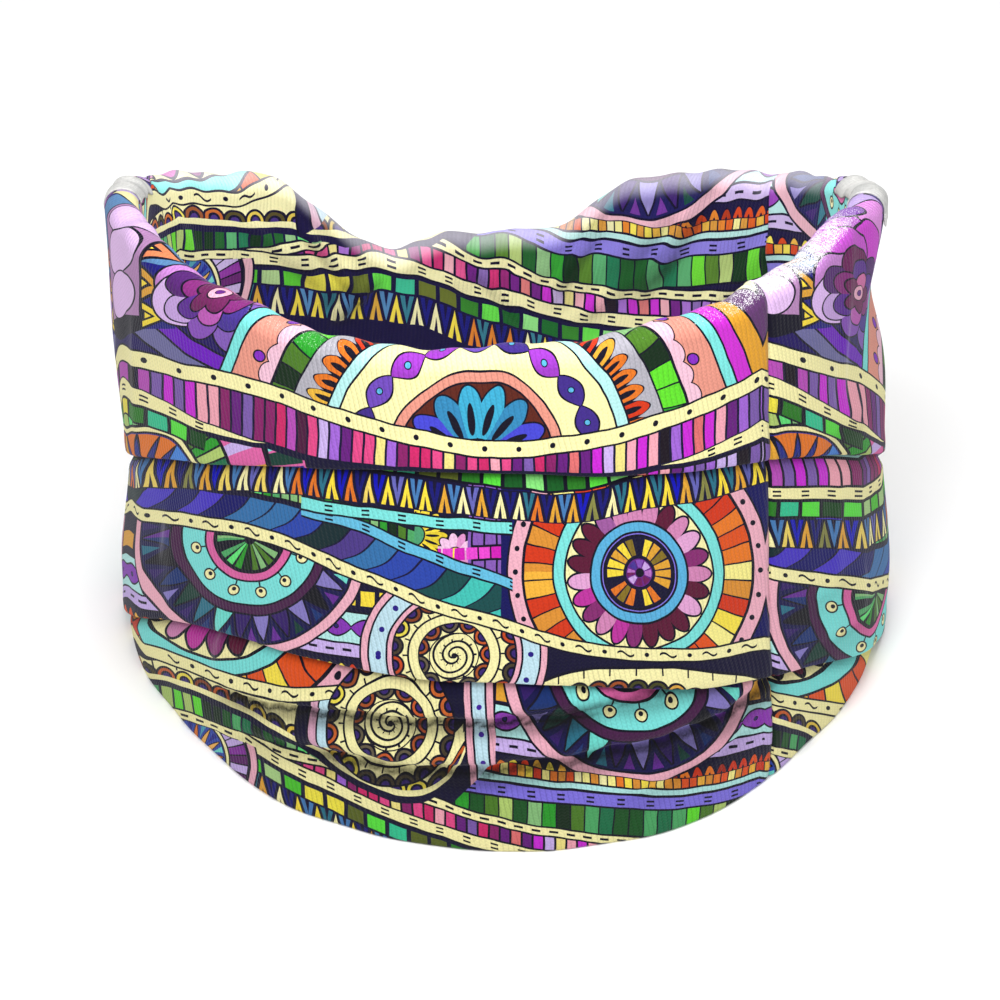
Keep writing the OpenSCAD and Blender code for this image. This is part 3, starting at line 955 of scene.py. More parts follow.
def upper_bands(art, x, y):
    """Bands along the lower edge, with part of a wheel at the left."""
    across = y - art.curve(x, [(110, 352), (160, 368), (210, 380), (300, 406), (400, 433),
                               (500, 450), (560, 444), (626, 430), (700, 404), (762, 373)])
    lower = y - art.curve(x, [(110, 376), (133, 389), (200, 425), (300, 453), (400, 463),
                              (500, 470), (560, 472), (626, 468), (700, 447), (762, 414)])
    art.put(across > -7.5, NAVY)
    art.clip = (across > 8.5) * (lower < 0)
    art.stripes(x, 11.3, 4.5, PINKS, 4)
    art.clip = None
    art.band(across, 0, 14.5, CREAM)
    art.dots(across, 0, x, 34, 2.7, INK)
    # cream wedges that widen towards both sides
    height = art.math("MAXIMUM", art.fma(x, -0.125, 32), art.fma(x, 0.155, -101))
    art.put((lower > 1.5) * (lower < height + 1.5), CREAM)
    middle = art.fma(height, 0.5, 1.5)
    art.clip = height > 7
    art.twins(lower - middle, 0, x, 27)
    under = lower - art.math("MAXIMUM", height, 0) - 4.5
    art.clip = (under > 2) * (x < 330)
    radius, angle = art.polar(x, y, 130, 490)
    art.discs(radius, (170, ROSE))
    art.spokes(radius, angle, 94, 128, 46,
               [PINK, ROSE, SALMON, (206, 120, 190), LAVENDER, ORANGE, GOLD], 3, 2.2)
    art.put(art.near(radius, 131, 3), INK)
    art.spokes(radius, angle, 134, 168, 58, COOLS[:8] + [AQUA, LAVENDER], 5, 2.2)
    art.discs(radius, (92, INK))
    art.spokes(radius, angle, 66, 91, 44, GREENS, 5, 2)
    art.discs(radius, (63, CREAM), (57, (50, 60, 150)))
    art.spikes(radius, angle, 18, 56, 18, [ORANGE, GOLD, (90, 150, 220), (226, 104, 40)], 2,
               outward=False)
    art.clip = x < 196
    art.blocks(under, 7, 14, x, 21, SQUARES, 6, 4)
    art.clip = (lower > 6) * (x > 560)
    art.blocks(under, 14, 24, x, 11.3, PINKS, 9, 2.4)


def upper_print(art, x, y):
    art.begin((198, 176, 224))
    upper_leaves(art, x, y)
    # rows of scales over the plain field, carried round to the back
    art.clip = (y < 272) * (x > 247)
    row = art.math("FLOOR", (272 - y) / 17)
    art.put(art.near(x, 400, 400), (92, 70, 160))
    art.scallops(art.math("WRAP", 272 - y, 17, 0), 0, x + row * 17, 34,
                 VIOLETS + [LAVENDER, PINK], 3, 0.49)
    upper_flower(art, x, y)
    upper_bands(art, x, y)


def middle_under(art, x, y, below):
    """Everything under the sweeping band."""
    art.clip = below
    down = y + art.curve(x, [(108, 80), (131, 74), (200, 57), (280, 36), (340, 26), (480, 15),
                             (770, 10)], 100.0)
    stacked_bands(art, down, x, blocks=(618, 15), lenses=(650, 32, 30, (150, 70, 190)),
                  dashes=(674, 17), loops=(707, 19, 11.5))
    art.blocks(down, 716, 13, x, 15, WARMS + [CREAM], 5, 2.2)
    art.band(down, 733, 12, CREAM)
    # the eye of scallops at the right
    brow = art.curve(x, [(478, 700), (520, 684), (560, 671), (626, 664), (700, 668),
                         (770, 684)])
    lid = art.curve(x, [(478, 716), (530, 700), (580, 690), (640, 687), (700, 697),
                        (770, 716)])
    right = x > 484
    art.clip = below * right
    art.put(art.near(y, 690, 60), NAVY)
    art.clip = (below * right) * (y > brow)
    art.put(art.near(y, 700, 60), CREAM)
    art.put(art.near(art.cell(x, 25), 0, 0.8) * art.near(y - brow, 4, 4.5), INK)
    art.scallops(lid - y, 0, x, 19, [(150, 84, 44), (236, 222, 100), (176, 100, 52),
                                     (90, 90, 40), (200, 70, 30), (226, 180, 90)], 2)
    art.put(y > lid - 1.2, INK)
    art.put(y > lid, CREAM)
    art.clip = below * right
    art.put(art.near(y, brow, 1.4), INK)
    # dotted arcs round a coil
    radius, angle = art.polar(x, y, 446, 652)
    art.clip = below * (x > 352)
    art.discs(radius, (92, PINK), (84, (200, 226, 236)), (66, PINK), (60, CREAM))
    art.put(art.square(art.cell(angle * 75, 26), radius - 75) < 8, (60, 40, 150))
    art.scallops(60 - radius, 0, angle * 56, 56 * math.tau / 19,
                 [(150, 84, 44), (236, 222, 100), (90, 80, 60), (200, 90, 40)], 4)
    coil(art, radius, angle, 44, 18)
    # the wheel at the left, cut by the sweeping band
    art.clip = below
    ray_wheel(art, x, y, 244, 537, 118)


def middle_flowers(art, x, y, above, line):
    """Green blocks, two small flowers and a row of squares above the slanting line."""
    art.clip = above * (line < 0)
    art.put(art.near(x, 400, 200), NAVY)
    art.blocks(line, -12, 12, x, 9, GREENS, 4, 2)
    art.clip = art.clip * (x > 408)
    radius, angle = art.polar(x, y, 407, 529)
    art.petals(radius, angle, 21, 11, 4.4, 17, [YELLOW, (236, 214, 90), (226, 206, 70)], 2,
               slit=True, line=1.5)
    art.discs(radius, (10, (96, 170, 130)), line=1.4)
    art.clip = above * ((line < 0) * (x > 430))
    radius, angle = art.polar(x, y, 447, 548)
    art.petals(radius, angle, 13, 8, 4.6, 11, [(236, 200, 226), (222, 160, 206)], 2, line=1.4)
    art.discs(radius, (6.5, YELLOW), line=1.2)
    along = x - 464
    art.put(art.near(along, 18, 22), (150, 110, 190))
    for edge in (0, 12, 24, 36):
        art.put(art.near(along, edge, 1), INK)
    art.put(art.near(along, 18, 19) * art.near(y, 548, 8.4), INK)
    art.blocks(y, 548, 12, along, 12, [(212, 40, 190), (230, 90, 210)], 2, 1.6, outline=False)


def middle_print(art, x, y):
    art.begin(NAVY)
    sweep = y - art.curve(x, [(110, 505), (131, 511), (245, 530), (355, 570), (440, 603),
                              (500, 624), (560, 643), (626, 650), (700, 649), (770, 638)])
    below = sweep > 0
    middle_under(art, x, y, below)
    # slanting blocks above the sweeping band
    above = 1.0 - below
    art.clip = above
    slant = art.fma(sweep, 1.15, x)
    art.stripes(slant + art.math("SINE", sweep * 0.09) * 6, 24, 11, BLUES, 12)
    line = y - art.curve(x, [(200, 489), (300, 507), (350, 519), (400, 540), (450, 560),
                             (500, 580), (560, 600)])
    top = art.curve(x, [(110, 472), (300, 478), (400, 487), (500, 501), (560, 504), (626, 491),
                        (700, 479), (770, 460)])
    under_top = y - top
    middle_flowers(art, x, y, above, line)
    # flower wheel at the right
    art.clip = above * (x > 492)
    art.put(art.near(x, 640, 160), (22, 20, 110))
    art.blocks(x, 764, 12, y, 16, [CREAM, YELLOW, GOLD, CREAM], 1, 3)
    flower_wheel(art, x, y, 627, 568, 128)
    # two bands of paired strokes
    art.clip = above * (x < 503)
    art.clip = art.clip * art.near(x, 400, 104)
    art.band(line, 0, 10, (120, 196, 224))
    art.twins(line, 0, x, 36)
    second = y - art.curve(x, [(225, 492), (300, 500), (400, 512), (500, 524), (560, 528)])
    art.band(second, 0, 10.5, AQUA)
    art.twins(second, 0, x, 36)
    art.clip = None
    art.band(sweep, 0, 12, CREAM)
    art.waves(sweep, 0, x, 41)
    art.zigzag(-under_top, -14, x,
               [CREAM, YELLOW, ORANGE, GOLD, CREAM, (236, 214, 120), (150, 150, 90)],
               [(30, 30, 130), (90, 140, 190), (20, 24, 190), (60, 130, 150),
                (120, 120, 190)])
    # above the chevrons, hidden by the tier above
    rise = top - y
    art.blocks(rise, 24, 14, x, 21, SQUARES, 6, 4)
    art.band(rise, 40, 11, CREAM)
    art.twins(rise, 40, x, 27)
    art.blocks(rise, 60, 24, x, 11.3, PINKS, 4)
    art.band(rise, 80, 10, PALE_AQUA)
    art.twins(rise, 80, x, 27)
    art.blocks(rise, 99, 22, x, 13, GREENS, 6, 2.4)
    art.band(rise, 118, 11, CREAM)
    art.dots(rise, 118, x, 30, 2.4, INK)
    art.blocks(rise, 138, 24, x, 15, VIOLETS, 8, 2.4)


def lower_left(art, x, y, tail):
    """Left part: a ticked cream field, a flower wheel, a sweeping band and a coil."""
    rise = tail - y
    top = art.curve(x, [(110, 655), (160, 660), (230, 668), (300, 692), (345, 722), (400, 752),
                        (470, 700)])
    left = x < 462
    art.clip = left
    art.put((y > top) * (rise > 0), CREAM)
    art.put(art.near(art.cell(x, 24), 0, 0.8) * art.near(y - top, 5, 5), INK)
    art.scallops(rise, 5.5, x, 19.5, [(150, 84, 44), (236, 222, 100), (90, 80, 40),
                                      (200, 110, 50), (226, 200, 90)], 2)
    art.put(art.near(y, top, 1.3), INK)
    sweep = art.curve(x, [(110, 636), (135, 646), (165, 659), (225, 679), (300, 690),
                          (366, 683), (420, 675), (470, 660)])
    art.clip = left * (y < sweep)
    art.put(art.near(y, 500, 400), NAVY)
    flower_wheel(art, x, y, 215, 556, 168)
    art.clip = left
    art.band(y - sweep, 0, 12, CREAM)
    art.clip = left * (x > 160)
    art.waves(y - sweep, 0, x, 41)
    radius, angle = art.polar(x, y, 384, 719)
    art.clip = left * ((x < 384) * ((y < 742) * (y - sweep > 7)))
    art.discs(radius, (92, NAVY), (80, (222, 180, 200)), (72, (200, 226, 236)), line=1.6)
    art.clip = left
    art.discs(radius, (62, CREAM))
    art.scallops(62 - radius, 0, angle * 58, 58 * math.tau / 19,
                 [(166, 96, 52), (236, 222, 100), (90, 80, 60), (206, 120, 60)], 4)
    coil(art, radius, angle, 45, 17)


def lower_right(art, x, y):
    """Right part: upright dotted bands, stacked bands and a wheel, with bands below it."""
    art.clip = x > 456
    slant = art.fma(y - 700, -0.08, x)
    for centre, width, fill in ((460, 7, PINK), (471, 13, (200, 226, 236)), (481.5, 6, PINK)):
        art.band(slant, centre, width, fill)
    art.dots(slant, 471, y, 27, 2.6, (90, 50, 170))
    art.clip = x > 487
    down = y + art.curve(x, [(470, 14), (560, 4), (640, 0), (700, 4), (770, 16)], 100.0)
    art.put(art.near(x, 640, 153), NAVY)
    stacked_bands(art, down, x, blocks=(700, 16), lenses=(727, 30, 31, (160, 76, 190)),
                  dashes=(750, 18), loops=(785, 21, 12))
    ray_wheel(art, x, y, 618, 650, 127)
    down = y + art.curve(x, [(110, 100), (420, 26), (470, 16), (560, 6), (640, 0), (700, 3),
                             (770, 14)], 100.0)
    art.clip = (x > art.fma(y - 760, -1.1, 486)) * (down > 772)
    art.blocks(down, 778, 10, x, 8, WARMS + [CREAM], 3, 1.4)
    art.band(down, 786.5, 5, PALE_AQUA)
    art.band(down, 798, 12.5, PERIWINKLE)
    art.twins(down, 798, x, 29)
    art.blocks(down, 819, 27, x, 14.2, GREENS, 8, 1.5)


def lower_bands(art, x, y, tail):
    """Long bands from the upper left to the lower right, and a wheel at the lower left."""
    under = y - tail > 6
    across = y - art.curve(x, [(110, 700), (184, 722), (250, 740), (330, 764), (380, 781),
                               (430, 797), (480, 815), (560, 831), (640, 840), (770, 838)])
    art.clip = under * (x < 345) * (across < 0)
    art.stripes(x, 11, 4.4, GREENS, 3)
    well_under = y - tail > 7
    art.clip = well_under
    art.put(across > -4, INK)
    lower = y - art.curve(x, [(110, 700), (215, 729), (248, 744), (295, 768), (342, 792),
                              (413, 821), (484, 843), (560, 858), (640, 868), (770, 872)])
    art.clip = well_under * (across > 4)
    art.put(art.near(art.cell(x, 10.8), 0, 4.3) * (lower < -6), art.pick(x, 10.8, 7, PINKS))
    art.clip = well_under
    art.band(across, 0, 8, CREAM)
    art.dashes(across, 0, x, 17)
    art.clip = well_under * (x > 232)
    art.put(lower > 0, NAVY)
    art.band(lower, 0, 11.5, CREAM)
    art.twins(lower, 0, x, 27)
    art.blocks(lower, 18, 13.5, x, 20.5, SQUARES, 6, 4.2, outline=False)
    art.zigzag(-lower, -54, x, [CREAM, YELLOW, ORANGE, GOLD],
               [(30, 30, 130), (90, 140, 190), (60, 130, 150)])
    art.clip = (x < 252) * (across > 5)
    radius, angle = art.polar(x, y, 176, 760)
    art.discs(radius, (74, PINK), (65, INK))
    art.spokes(radius, angle, 44, 63, 36,
               [(150, 60, 170), (190, 130, 200), (110, 40, 120), LAVENDER], 5, 1.5)
    art.discs(radius, (42, CREAM), (37, (60, 90, 180)))
    art.spikes(radius, angle, 8, 36, 14, [ORANGE, GOLD, (240, 190, 110)], 4)


def lower_print(art, x, y):
    art.begin(NAVY)
    tail = art.curve(x, [(110, 672), (154, 682), (201, 697), (248, 714), (295, 739), (333, 766),
                         (366, 782), (401, 791), (432, 781), (455, 752), (470, 700)])
    lower_left(art, x, y, tail)
    lower_right(art, x, y)
    lower_bands(art, x, y, tail)


# ---------------------------------------------------------------- materials
def new_material(name):
    mat = bpy.data.materials.new(name)
    mat.use_nodes = True
    tree = mat.node_tree
    return mat, Painter(tree), tree.nodes["Principled BSDF"]


def knit(graph, bsdf, u, v, colour, fade=None, rib=1.32, rough=0.82, depth=1.0, painted_light=False,
         gamma=1.0, gain=1.0):
    """Ribbed jersey over a colour: upright wales 'rib' wide with slanted stitches and painted
    shade in the grooves between them, mottling, a soft sheen and, when asked, painted shade
    along creases and painted highlight streaks from the attributes. u, v in mm."""
    stitch_height, stitch_slope, wale_slope = 0.95, 0.9, 0.16
    wander = graph.noise(u, v, 0.09, 1.0) * 1.6
    across = u + wander + v * wale_slope
    wale = graph.math("SINE", across * (math.tau / rib))
    side = abs(graph.cell(across, rib))
    stitch = graph.math("SINE", (v + side * stitch_slope) * (math.tau / stitch_height))
    mottle = graph.noise(u, v, 1.9, 3.0)
    fine = graph.noise(u, v, 7.0, 2.0, 3.0)
    # painted shade in the grooves between the wales, changing slowly over the cloth
    opening = graph.fma(graph.step(graph.noise(u, v, 0.05, 2.0, 11.0), 0.38, 0.62), 0.13, 0.07)
    shade = 1.0 - opening * (1.0 - graph.step(wale, -1.0, -0.45))
    # the rows of stitches darken it slightly too: painted shade
    shade = shade * graph.fma(stitch, 0.045, 0.97)
    shade = shade * graph.fma(mottle, 0.34, 0.84)
    # painted shade along creases and under folds, read from the 'shade' attribute
    if painted_light:
        crease_shade = graph.attribute("shade") * graph.fma(mottle, 0.6, 0.64)
        shade = shade * (1.0 - graph.math("MINIMUM", crease_shade, 0.95))
    if gamma != 1.0:
        node = graph.node("ShaderNodeGamma")
        graph.wire(colour, node.inputs[0])
        node.inputs[1].default_value = gamma
        colour = Value(graph, node.outputs[0])
    shade = shade * gain
    colour = graph.mix(1.0, colour, graph.mix(shade, (0, 0, 0), (255, 255, 255)), "MULTIPLY")
    if fade is not None:
        # pale specks, more of them the stronger the fade
        low = graph.fma(fade, -0.50, 0.92)
        speck = graph.fma(graph.noise(u, v * 0.7, 4.6, 3.0, 3.0), 0.76,
                          graph.noise(u, v * 0.5, 1.0, 2.0, 7.0) * 0.24)
        amount = graph.step(speck, low - 0.05, low + 0.10)
        colour = graph.mix(amount * 0.8, colour, (238, 236, 238))
    # painted highlight streaks, read from the 'gleam' attribute
    if painted_light:
        colour = graph.mix(graph.attribute("gleam") * (0.35 + fine), colour, (236, 232, 240))
    graph.wire(colour, bsdf.inputs["Base Color"])
    graph.wire(graph.fma(mottle, 0.18, rough - 0.09), bsdf.inputs["Roughness"])
    bsdf.inputs["Specular IOR Level"].default_value = 0.16
    bsdf.inputs["Sheen Weight"].default_value = 0.08
    bsdf.inputs["Sheen Roughness"].default_value = 0.45
    height = wale * 0.10 + stitch * 0.045 + fine * 0.10
    bump = graph.node("ShaderNodeBump")
    bump.inputs["Strength"].default_value = 0.55 * depth
    bump.inputs["Distance"].default_value = 0.001
    graph.wire(height, bump.inputs["Height"])
    graph.tree.links.new(bump.outputs[0], bsdf.inputs["Normal"])


def print_material(name, draw, faded, gamma, gain):
    mat, art, bsdf = new_material(name)
    x, y = art.uv("print", 1000.0)
    u, v = art.uv("knit", 100.0)
    # slight wander of the printed lines on the stretched knit
    wander = 5.0
    print_x = x + (art.noise(x, y, 0.02, 2.0) - 0.5) * wander
    print_y = y + (art.noise(x, y, 0.023, 2.0, 5.0) - 0.5) * wander
    # the print is mirrored past its ends, with a rounded turn at the left one
    left, width, rounding = 108.0, 654.0, 120.0
    folded = art.math("PINGPONG", print_x - left, width)
    folded = art.math("SQRT", art.fma(folded, folded, rounding)) + 99.0
    draw(art, folded, print_y)
    knit(art, bsdf, u, v, art.colour, art.attribute("fade") if faded else None, painted_light=True,
         gamma=gamma, gain=gain)
    return mat


def plain_material(name, colour, patch_colour, rib=1.32, rough=0.85, depth=1.0):
    mat, graph, bsdf = new_material(name)
    u, v = graph.uv("knit", 100.0)
    patches = graph.step(graph.noise(u, v, 0.16, 3.0), 0.35, 0.65)
    knit(graph, bsdf, u, v, graph.mix(patches, colour, patch_colour), rib=rib, rough=rough,
         depth=depth)
    return mat


# gamma and gain set each copy's tone. The lining's copy of the lower print is lighter than the
# bottom tier's: painted light offsetting the shade inside the opening. The bottom tier's copy
# is a little darker than the tiers above: painted shade.
UPPER_KNIT = print_material("top_tier_print", upper_print, True, gamma=1.28, gain=0.81)
MIDDLE_KNIT = print_material("middle_tier_print", middle_print, True, gamma=1.28, gain=0.81)
LOWER_KNIT = print_material("bottom_tier_print", lower_print, True, gamma=1.30, gain=0.77)
LINING_KNIT = print_material("lining_print", lower_print, False, gamma=1.06, gain=1.12)
FACING = plain_material("facing_grey_knit", (176, 176, 174), (206, 205, 202))
PLAIN_LINING = plain_material("plain_lining_knit", (222, 222, 218), (238, 237, 232))
ELASTIC = plain_material("elastic_braid", (234, 233, 228), (214, 213, 208),
                         rib=0.9, rough=0.7, depth=1.3)
SEAM_EDGE = plain_material("overlocked_edge", (38, 30, 84), (58, 48, 112),
                           rib=0.8, rough=0.8, depth=1.2)
THREAD = plain_material("polyester_thread", (236, 234, 224), (216, 212, 200),
                        rib=0.35, rough=0.55, depth=0.8)


def place(ob, body, slot, mat, *nodes):
    ob.data.materials.append(mat)
    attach(ob, body)
    if nodes:
        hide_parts(*nodes)


# ---------------------------------------------------------------- the outer tiers
RETURN_HEIGHTS = np.array([8.0, 6.0, 4.0, 2.4, 1.2])    # of the ply turned up behind a fold


def roll_reach(angle):
    """How far over the roll the outer knit reaches before the lining takes over."""
    return 46 + 128 * smooth((116 - np.abs(wrap(angle))) / 18.0)


def tier(name, start, end, shift, edge, top, out, hem, rows, creases, swell):
    """One tier: a folded lower edge at 'edge' with its return ply, and the wall. It ends at
    'top', or where top is None it goes over the roll. The print follows 'hem'."""
    angle = columns(start, end)
    rolled = top is None
    base = edge(angle) + PLY / 2
    fold_z = base + FOLD_RADIUS
    top_z = rim(angle) - ROLL if rolled else top(angle)
    turn = np.arange(180, 325, 36) * DEGREE
    share = np.arange(rows + 1) / rows
    share = share * 0.75 + 0.25 * share * share
    z = np.hstack([fold_z + RETURN_HEIGHTS, fold_z + FOLD_RADIUS * np.sin(turn),
                   fold_z + (top_z - fold_z) * share])
    offset = 0 * angle + np.concatenate([
        np.full(len(RETURN_HEIGHTS), -PLY / 2 - 2 * FOLD_RADIUS),
        -PLY / 2 - FOLD_RADIUS + FOLD_RADIUS * np.cos(turn), np.full(rows + 1, -PLY / 2)])
    section_z, print_z = z, np.maximum(z, 0)
    if rolled:
        radius = ROLL - PLY / 2
        turn_over = roll_reach(angle) * DEGREE * np.arange(1, 24) / 23.0
        z = np.hstack([z, top_z + radius * np.sin(turn_over)])
        offset = np.hstack([offset, -ROLL + radius * np.cos(turn_over)])
        section_z = np.hstack([section_z, top_z + 0 * turn_over])
        print_z = np.hstack([print_z, top_z + radius * turn_over])
    angles = np.broadcast_to(angle, z.shape)
    puff = 0.35 * hump(z - base - 2.5, 3.6) + swell(angles, section_z)
    crease_offset, dark = creases(angles, section_z)
    hang = drape(angles, section_z) + groove(angles) + 0.8 * pull(angles, section_z)
    hang = hang + crease_offset
    wave, fade = 0, np.zeros_like(z)
    if rolled:
        hang = hang + ripples(angles, section_z)
        wave = rim_shift(angles) * smooth((z - top_z + 12) / 12.0)
        wear = 0.34 + 0.62 * bell(angles, 52, 26) + 0.30 * bell(angles, -28, 14)
        fade = smooth((z - (rim(angles) - 4.2)) / 3.4) * wear
    centre = at(angles, z + wave, out + offset + hang + puff, section_z)
    # behind the fold the print runs on, mirrored about the lower edge
    behind = np.arange(z.shape[1])[None] < len(RETURN_HEIGHTS) + len(turn)
    print_z = np.where(behind, 2 * base - z, print_z)
    uvs = {"print": print_uv(angles, print_z, hem, shift, out),
           "knit": knit_uv(angles, print_z)}
    # 'shade' carries painted shade along the creases and under the fold above; 'gleam' carries
    # painted highlight streaks
    return sheet(name, centre, PLY, uvs,
                 {"fade": fade, "shade": dark, "gleam": gleam(angles, section_z)})


def middle_swell(angle, z):
    """The middle tier fills out below the fold of the upper one."""
    return (1.5 * smooth((upper_fold(angle) - z) / 5.0)
            * (0.25 + 0.75 * smooth((z - middle_hem(angle)) / 25.0)))


def lower_swell(angle, z):
    return 1.9 * smooth((middle_fold(angle) - z) / 4.0) * (0.3 + 0.7 * smooth(z / 15.0))


# name, material, shift of the print on the side panel, build
TIERS = (
    ("upper", UPPER_KNIT, (-661, 0), dict(
        edge=upper_fold, top=None, out=UPPER_OUT, hem=upper_hem, rows=62,
        creases=crease_field(UPPER_CREASES), swell=lambda angle, z: 0)),
    ("middle", MIDDLE_KNIT, (-631, -59), dict(
        edge=middle_fold, top=lambda angle: upper_hem(angle) + 21.5, out=MIDDLE_OUT,
        hem=middle_hem, rows=56, swell=middle_swell,
        creases=crease_field(MIDDLE_CREASES, upper_fold, line_dark=0.75, halo_dark=0.1))),
    ("lower", LOWER_KNIT, (-560, -24), dict(
        edge=lambda angle: 0 * angle, top=lambda angle: middle_hem(angle) + 19.5,
        out=LOWER_OUT, hem=middle_hem, rows=88, swell=lower_swell,
        creases=crease_field(LOWER_CREASES, middle_fold, line_dark=0.8, halo_dark=0.12))),
)
for panel, start, end in PANELS:
    for tag, mat, side_shift, build in TIERS:
        shift = side_shift if panel == "side" else (0, 0)
        cloth = tier("%s_%s_cloth" % (tag, panel), start, end, shift, **build)
        place(cloth, BODIES[tag], tag + "_print_knit", mat, "%s_%s_panel" % (tag, panel))


# ---------------------------------------------------------------- the linings
def slack_section(angle):
    """Lowest height whose cross-section the hanging linings follow."""
    return np.minimum(80, rim(angle) - 7)


def upper_lining(name, start, end, turn_back, shift):
    """From under the outer knit's end on the roll, down the inside; turn_back is subtracted
    from the angle for the print."""
    angle = columns(start, end)
    radius = ROLL - PLY / 2
    top_z = rim(angle) - ROLL
    low_z = np.minimum(34, rim(angle) - 46)
    first = (roll_reach(angle) + 2.5) * DEGREE
    over = first + (math.pi - first) * np.arange(19) / 18.0
    hanging = top_z + (low_z - top_z) * np.arange(1, 63) / 62
    z = np.hstack([top_z + radius * np.sin(over), hanging])
    offset = np.hstack([-ROLL + radius * np.cos(over), -2 * ROLL + PLY / 2 + 0 * hanging])
    slack = np.maximum(slack_section(angle), top_z - (top_z - hanging) * 0.6)
    section_z = np.hstack([top_z + 0 * over, np.maximum(hanging, slack)])
    print_z = np.hstack([top_z + radius * (math.pi - over), hanging])
    angles = np.broadcast_to(angle, z.shape)
    depth = np.maximum(top_z - z, 0)
    near_rim = np.exp(-depth / 14.0)
    hang = drape(angles, section_z) + groove(angles) + 0.8 * pull(angles, section_z)
    hang = hang * near_rim + ripples(angles, section_z) * (0.35 + 0.65 * near_rim)
    hang = np.where(depth > 6, np.minimum(hang, 0.25), hang)
    folds = lining_folds(angles, z)
    hang = hang + folds * smooth(depth / 7.0)
    wave = rim_shift(angles) * smooth((z - top_z + 12) / 12.0)
    centre = at(angles, z + wave, offset + hang, section_z)
    # painted highlight near the top of the back, where the rim is strongly lit
    pale = (0.42 * smooth((z - top_z + 0.5) / 4.6)
            * smooth((np.abs(wrap(angles)) - 104) / 14.0))
    uvs = {"print": lining_uv(angles - turn_back, print_z, shift),
           "knit": knit_uv(angles, print_z)}
    # 'shade' is painted shade in the lining's folds and 'gleam' the painted highlight near the
    # rim
    return sheet(name, centre, PLY, uvs, {"shade": np.clip(-folds * 0.16, 0, 0.5),
                                          "gleam": pale})


def lower_lining():
    angle = np.arange(0, 360, 1.0)[:, None]
    top_z = np.minimum(64, rim(angle) - 14)
    z = 1.9 + (top_z - 2.2) * np.linspace(0, 1, 42)[None]
    section_z = np.maximum(z, slack_section(angle))
    angles = np.broadcast_to(angle, z.shape)
    slack = (0.22 * np.sin(angles * DEGREE * 24 + z * 0.05)
             + 0.12 * np.sin(angles * DEGREE * 41 - z * 0.11))
    slack = slack * smooth(z / 10) * smooth((top_z - z) / 8 + 0.3)
    centre = at(angles, z, LOWER_LINING_OUT + slack, section_z)
    return sheet("lower_lining_cloth", centre, 0.9, {"knit": flat_uv(angles * 1.55, z)},
                 ring=True)


for (panel, start, end), turn_back, shift in zip(PANELS, (0, 360), ((0, 0), (-250, -30))):
    cloth = upper_lining("upper_lining_%s_cloth" % panel, start, end, turn_back, shift)
    place(cloth, "upper", "lining_print_knit", LINING_KNIT, "upper_lining_" + panel)
place(lower_lining(), "base", "plain_lining_knit", PLAIN_LINING, "lower_lining")


# ---------------------------------------------------------------- elastics
def rim_cord():
    angle = np.arange(0, 360, COLUMN_STEP)
    core_z = rim(angle) - ROLL
    path = at(angle, core_z + rim_shift(angle),
              -ROLL + drape(angle, core_z) + ripples(angle, core_z))
    return rope_object("rim_elastic_cord", [rope(path, radius=1.45, sides=12, lobes=4, turns=60,
                                                 lobe=0.10, closed=True)])


def tape(name, angle, low_z, high_z, out, thick, hang, ring=False):
    """A flat elastic with ribs along it."""
    share = np.linspace(0, 1, 15)[None]
    z = low_z + (high_z - low_z) * share
    angles = np.broadcast_to(angle, z.shape)
    centre = at(angles, z, out + hang(angles, z))
    rib = np.sin(share * math.pi * 9)
    thickness = thick * (1 + 0.18 * np.sign(rib) * np.abs(rib) ** 0.5)
    return sheet(name, centre, thickness, {"knit": flat_uv(angles * 1.6, z)}, ring=ring)


place(rim_cord(), "upper", "elastic", ELASTIC, "rim_elastic")
angle = columns(150, 216, 0.5)
place(tape("back_gather_tape", angle, rim(angle) - 17, rim(angle) - 9, out=-3.0, thick=0.85,
           hang=lambda q, z: drape(q, z) + ripples(q, z) - 0.15 * np.sin(q * 2.1)),
      "upper", "elastic", ELASTIC, "back_gather_elastic")
angle = np.arange(0, 360, 1.0)[:, None]
place(tape("hem_elastic_tape", angle, 2 + 0 * angle, 10 + 0 * angle,
           out=LOWER_OUT - CLOTH - 0.95, thick=0.8, hang=drape, ring=True),
      "base", "elastic", ELASTIC, "hem_elastic")


# ---------------------------------------------------------------- seams
STITCH = 2.1           # pitch of the overlock stitches
SEAM_HALF = 1.55       # half width of the seam's edge, degrees
THREAD_HALF = 1.5      # half width of its thread, degrees


def seam_edge(name, seam, low_z, high_z, out):
    z = np.linspace(low_z, high_z, int((high_z - low_z) / 0.9))[:, None]
    off = np.linspace(-SEAM_HALF, SEAM_HALF, 13)[None]
    frill = 0.10 * np.sin(z * 2.2) * np.abs(off / SEAM_HALF) ** 3 * np.sign(off)
    angles = seam + off + frill
    z = z + 0 * angles
    offset = (out - 0.62 - 0.10 * np.cos(off * 2.6) + 0.05 * np.sin(z * math.tau / STITCH)
              + drape(angles, z))
    return sheet(name, at(angles, z, offset), 0.62, {"knit": flat_uv(angles * 1.6, z)})


def seam_threads(seam, low_z, high_z, out):
    """A thread that crosses the seam to and fro, and one along each side."""
    stitches = int((high_z - low_z - 2) / STITCH)
    step = np.arange(stitches * 12) / 12.0
    z = low_z + 1 + step * STITCH
    angle = seam + THREAD_HALF * np.clip(1.6 * np.sin(step * math.tau), -1, 1)
    offset = out - 1.30 - 0.12 * np.cos(step * 2 * math.tau) + drape(angle, z)
    threads = [rope(at(angle, z, offset), radius=0.20, sides=6, lobes=2, turns=stitches * 4,
                    lobe=0.12)]
    for edge in (-THREAD_HALF, THREAD_HALF):
        z = np.linspace(low_z + 1, high_z - 1, stitches * 8)
        angle = seam + edge + 0.12 * np.sin(z * math.tau / STITCH)
        offset = (out - 1.0 - 0.1 * np.cos(z * 2 * math.tau / STITCH)
                  + drape(seam + edge + 0 * z, z))
        threads.append(rope(at(angle, z, offset), radius=0.17, sides=6, lobes=2,
                            turns=stitches * 3, lobe=0.1))
    return threads


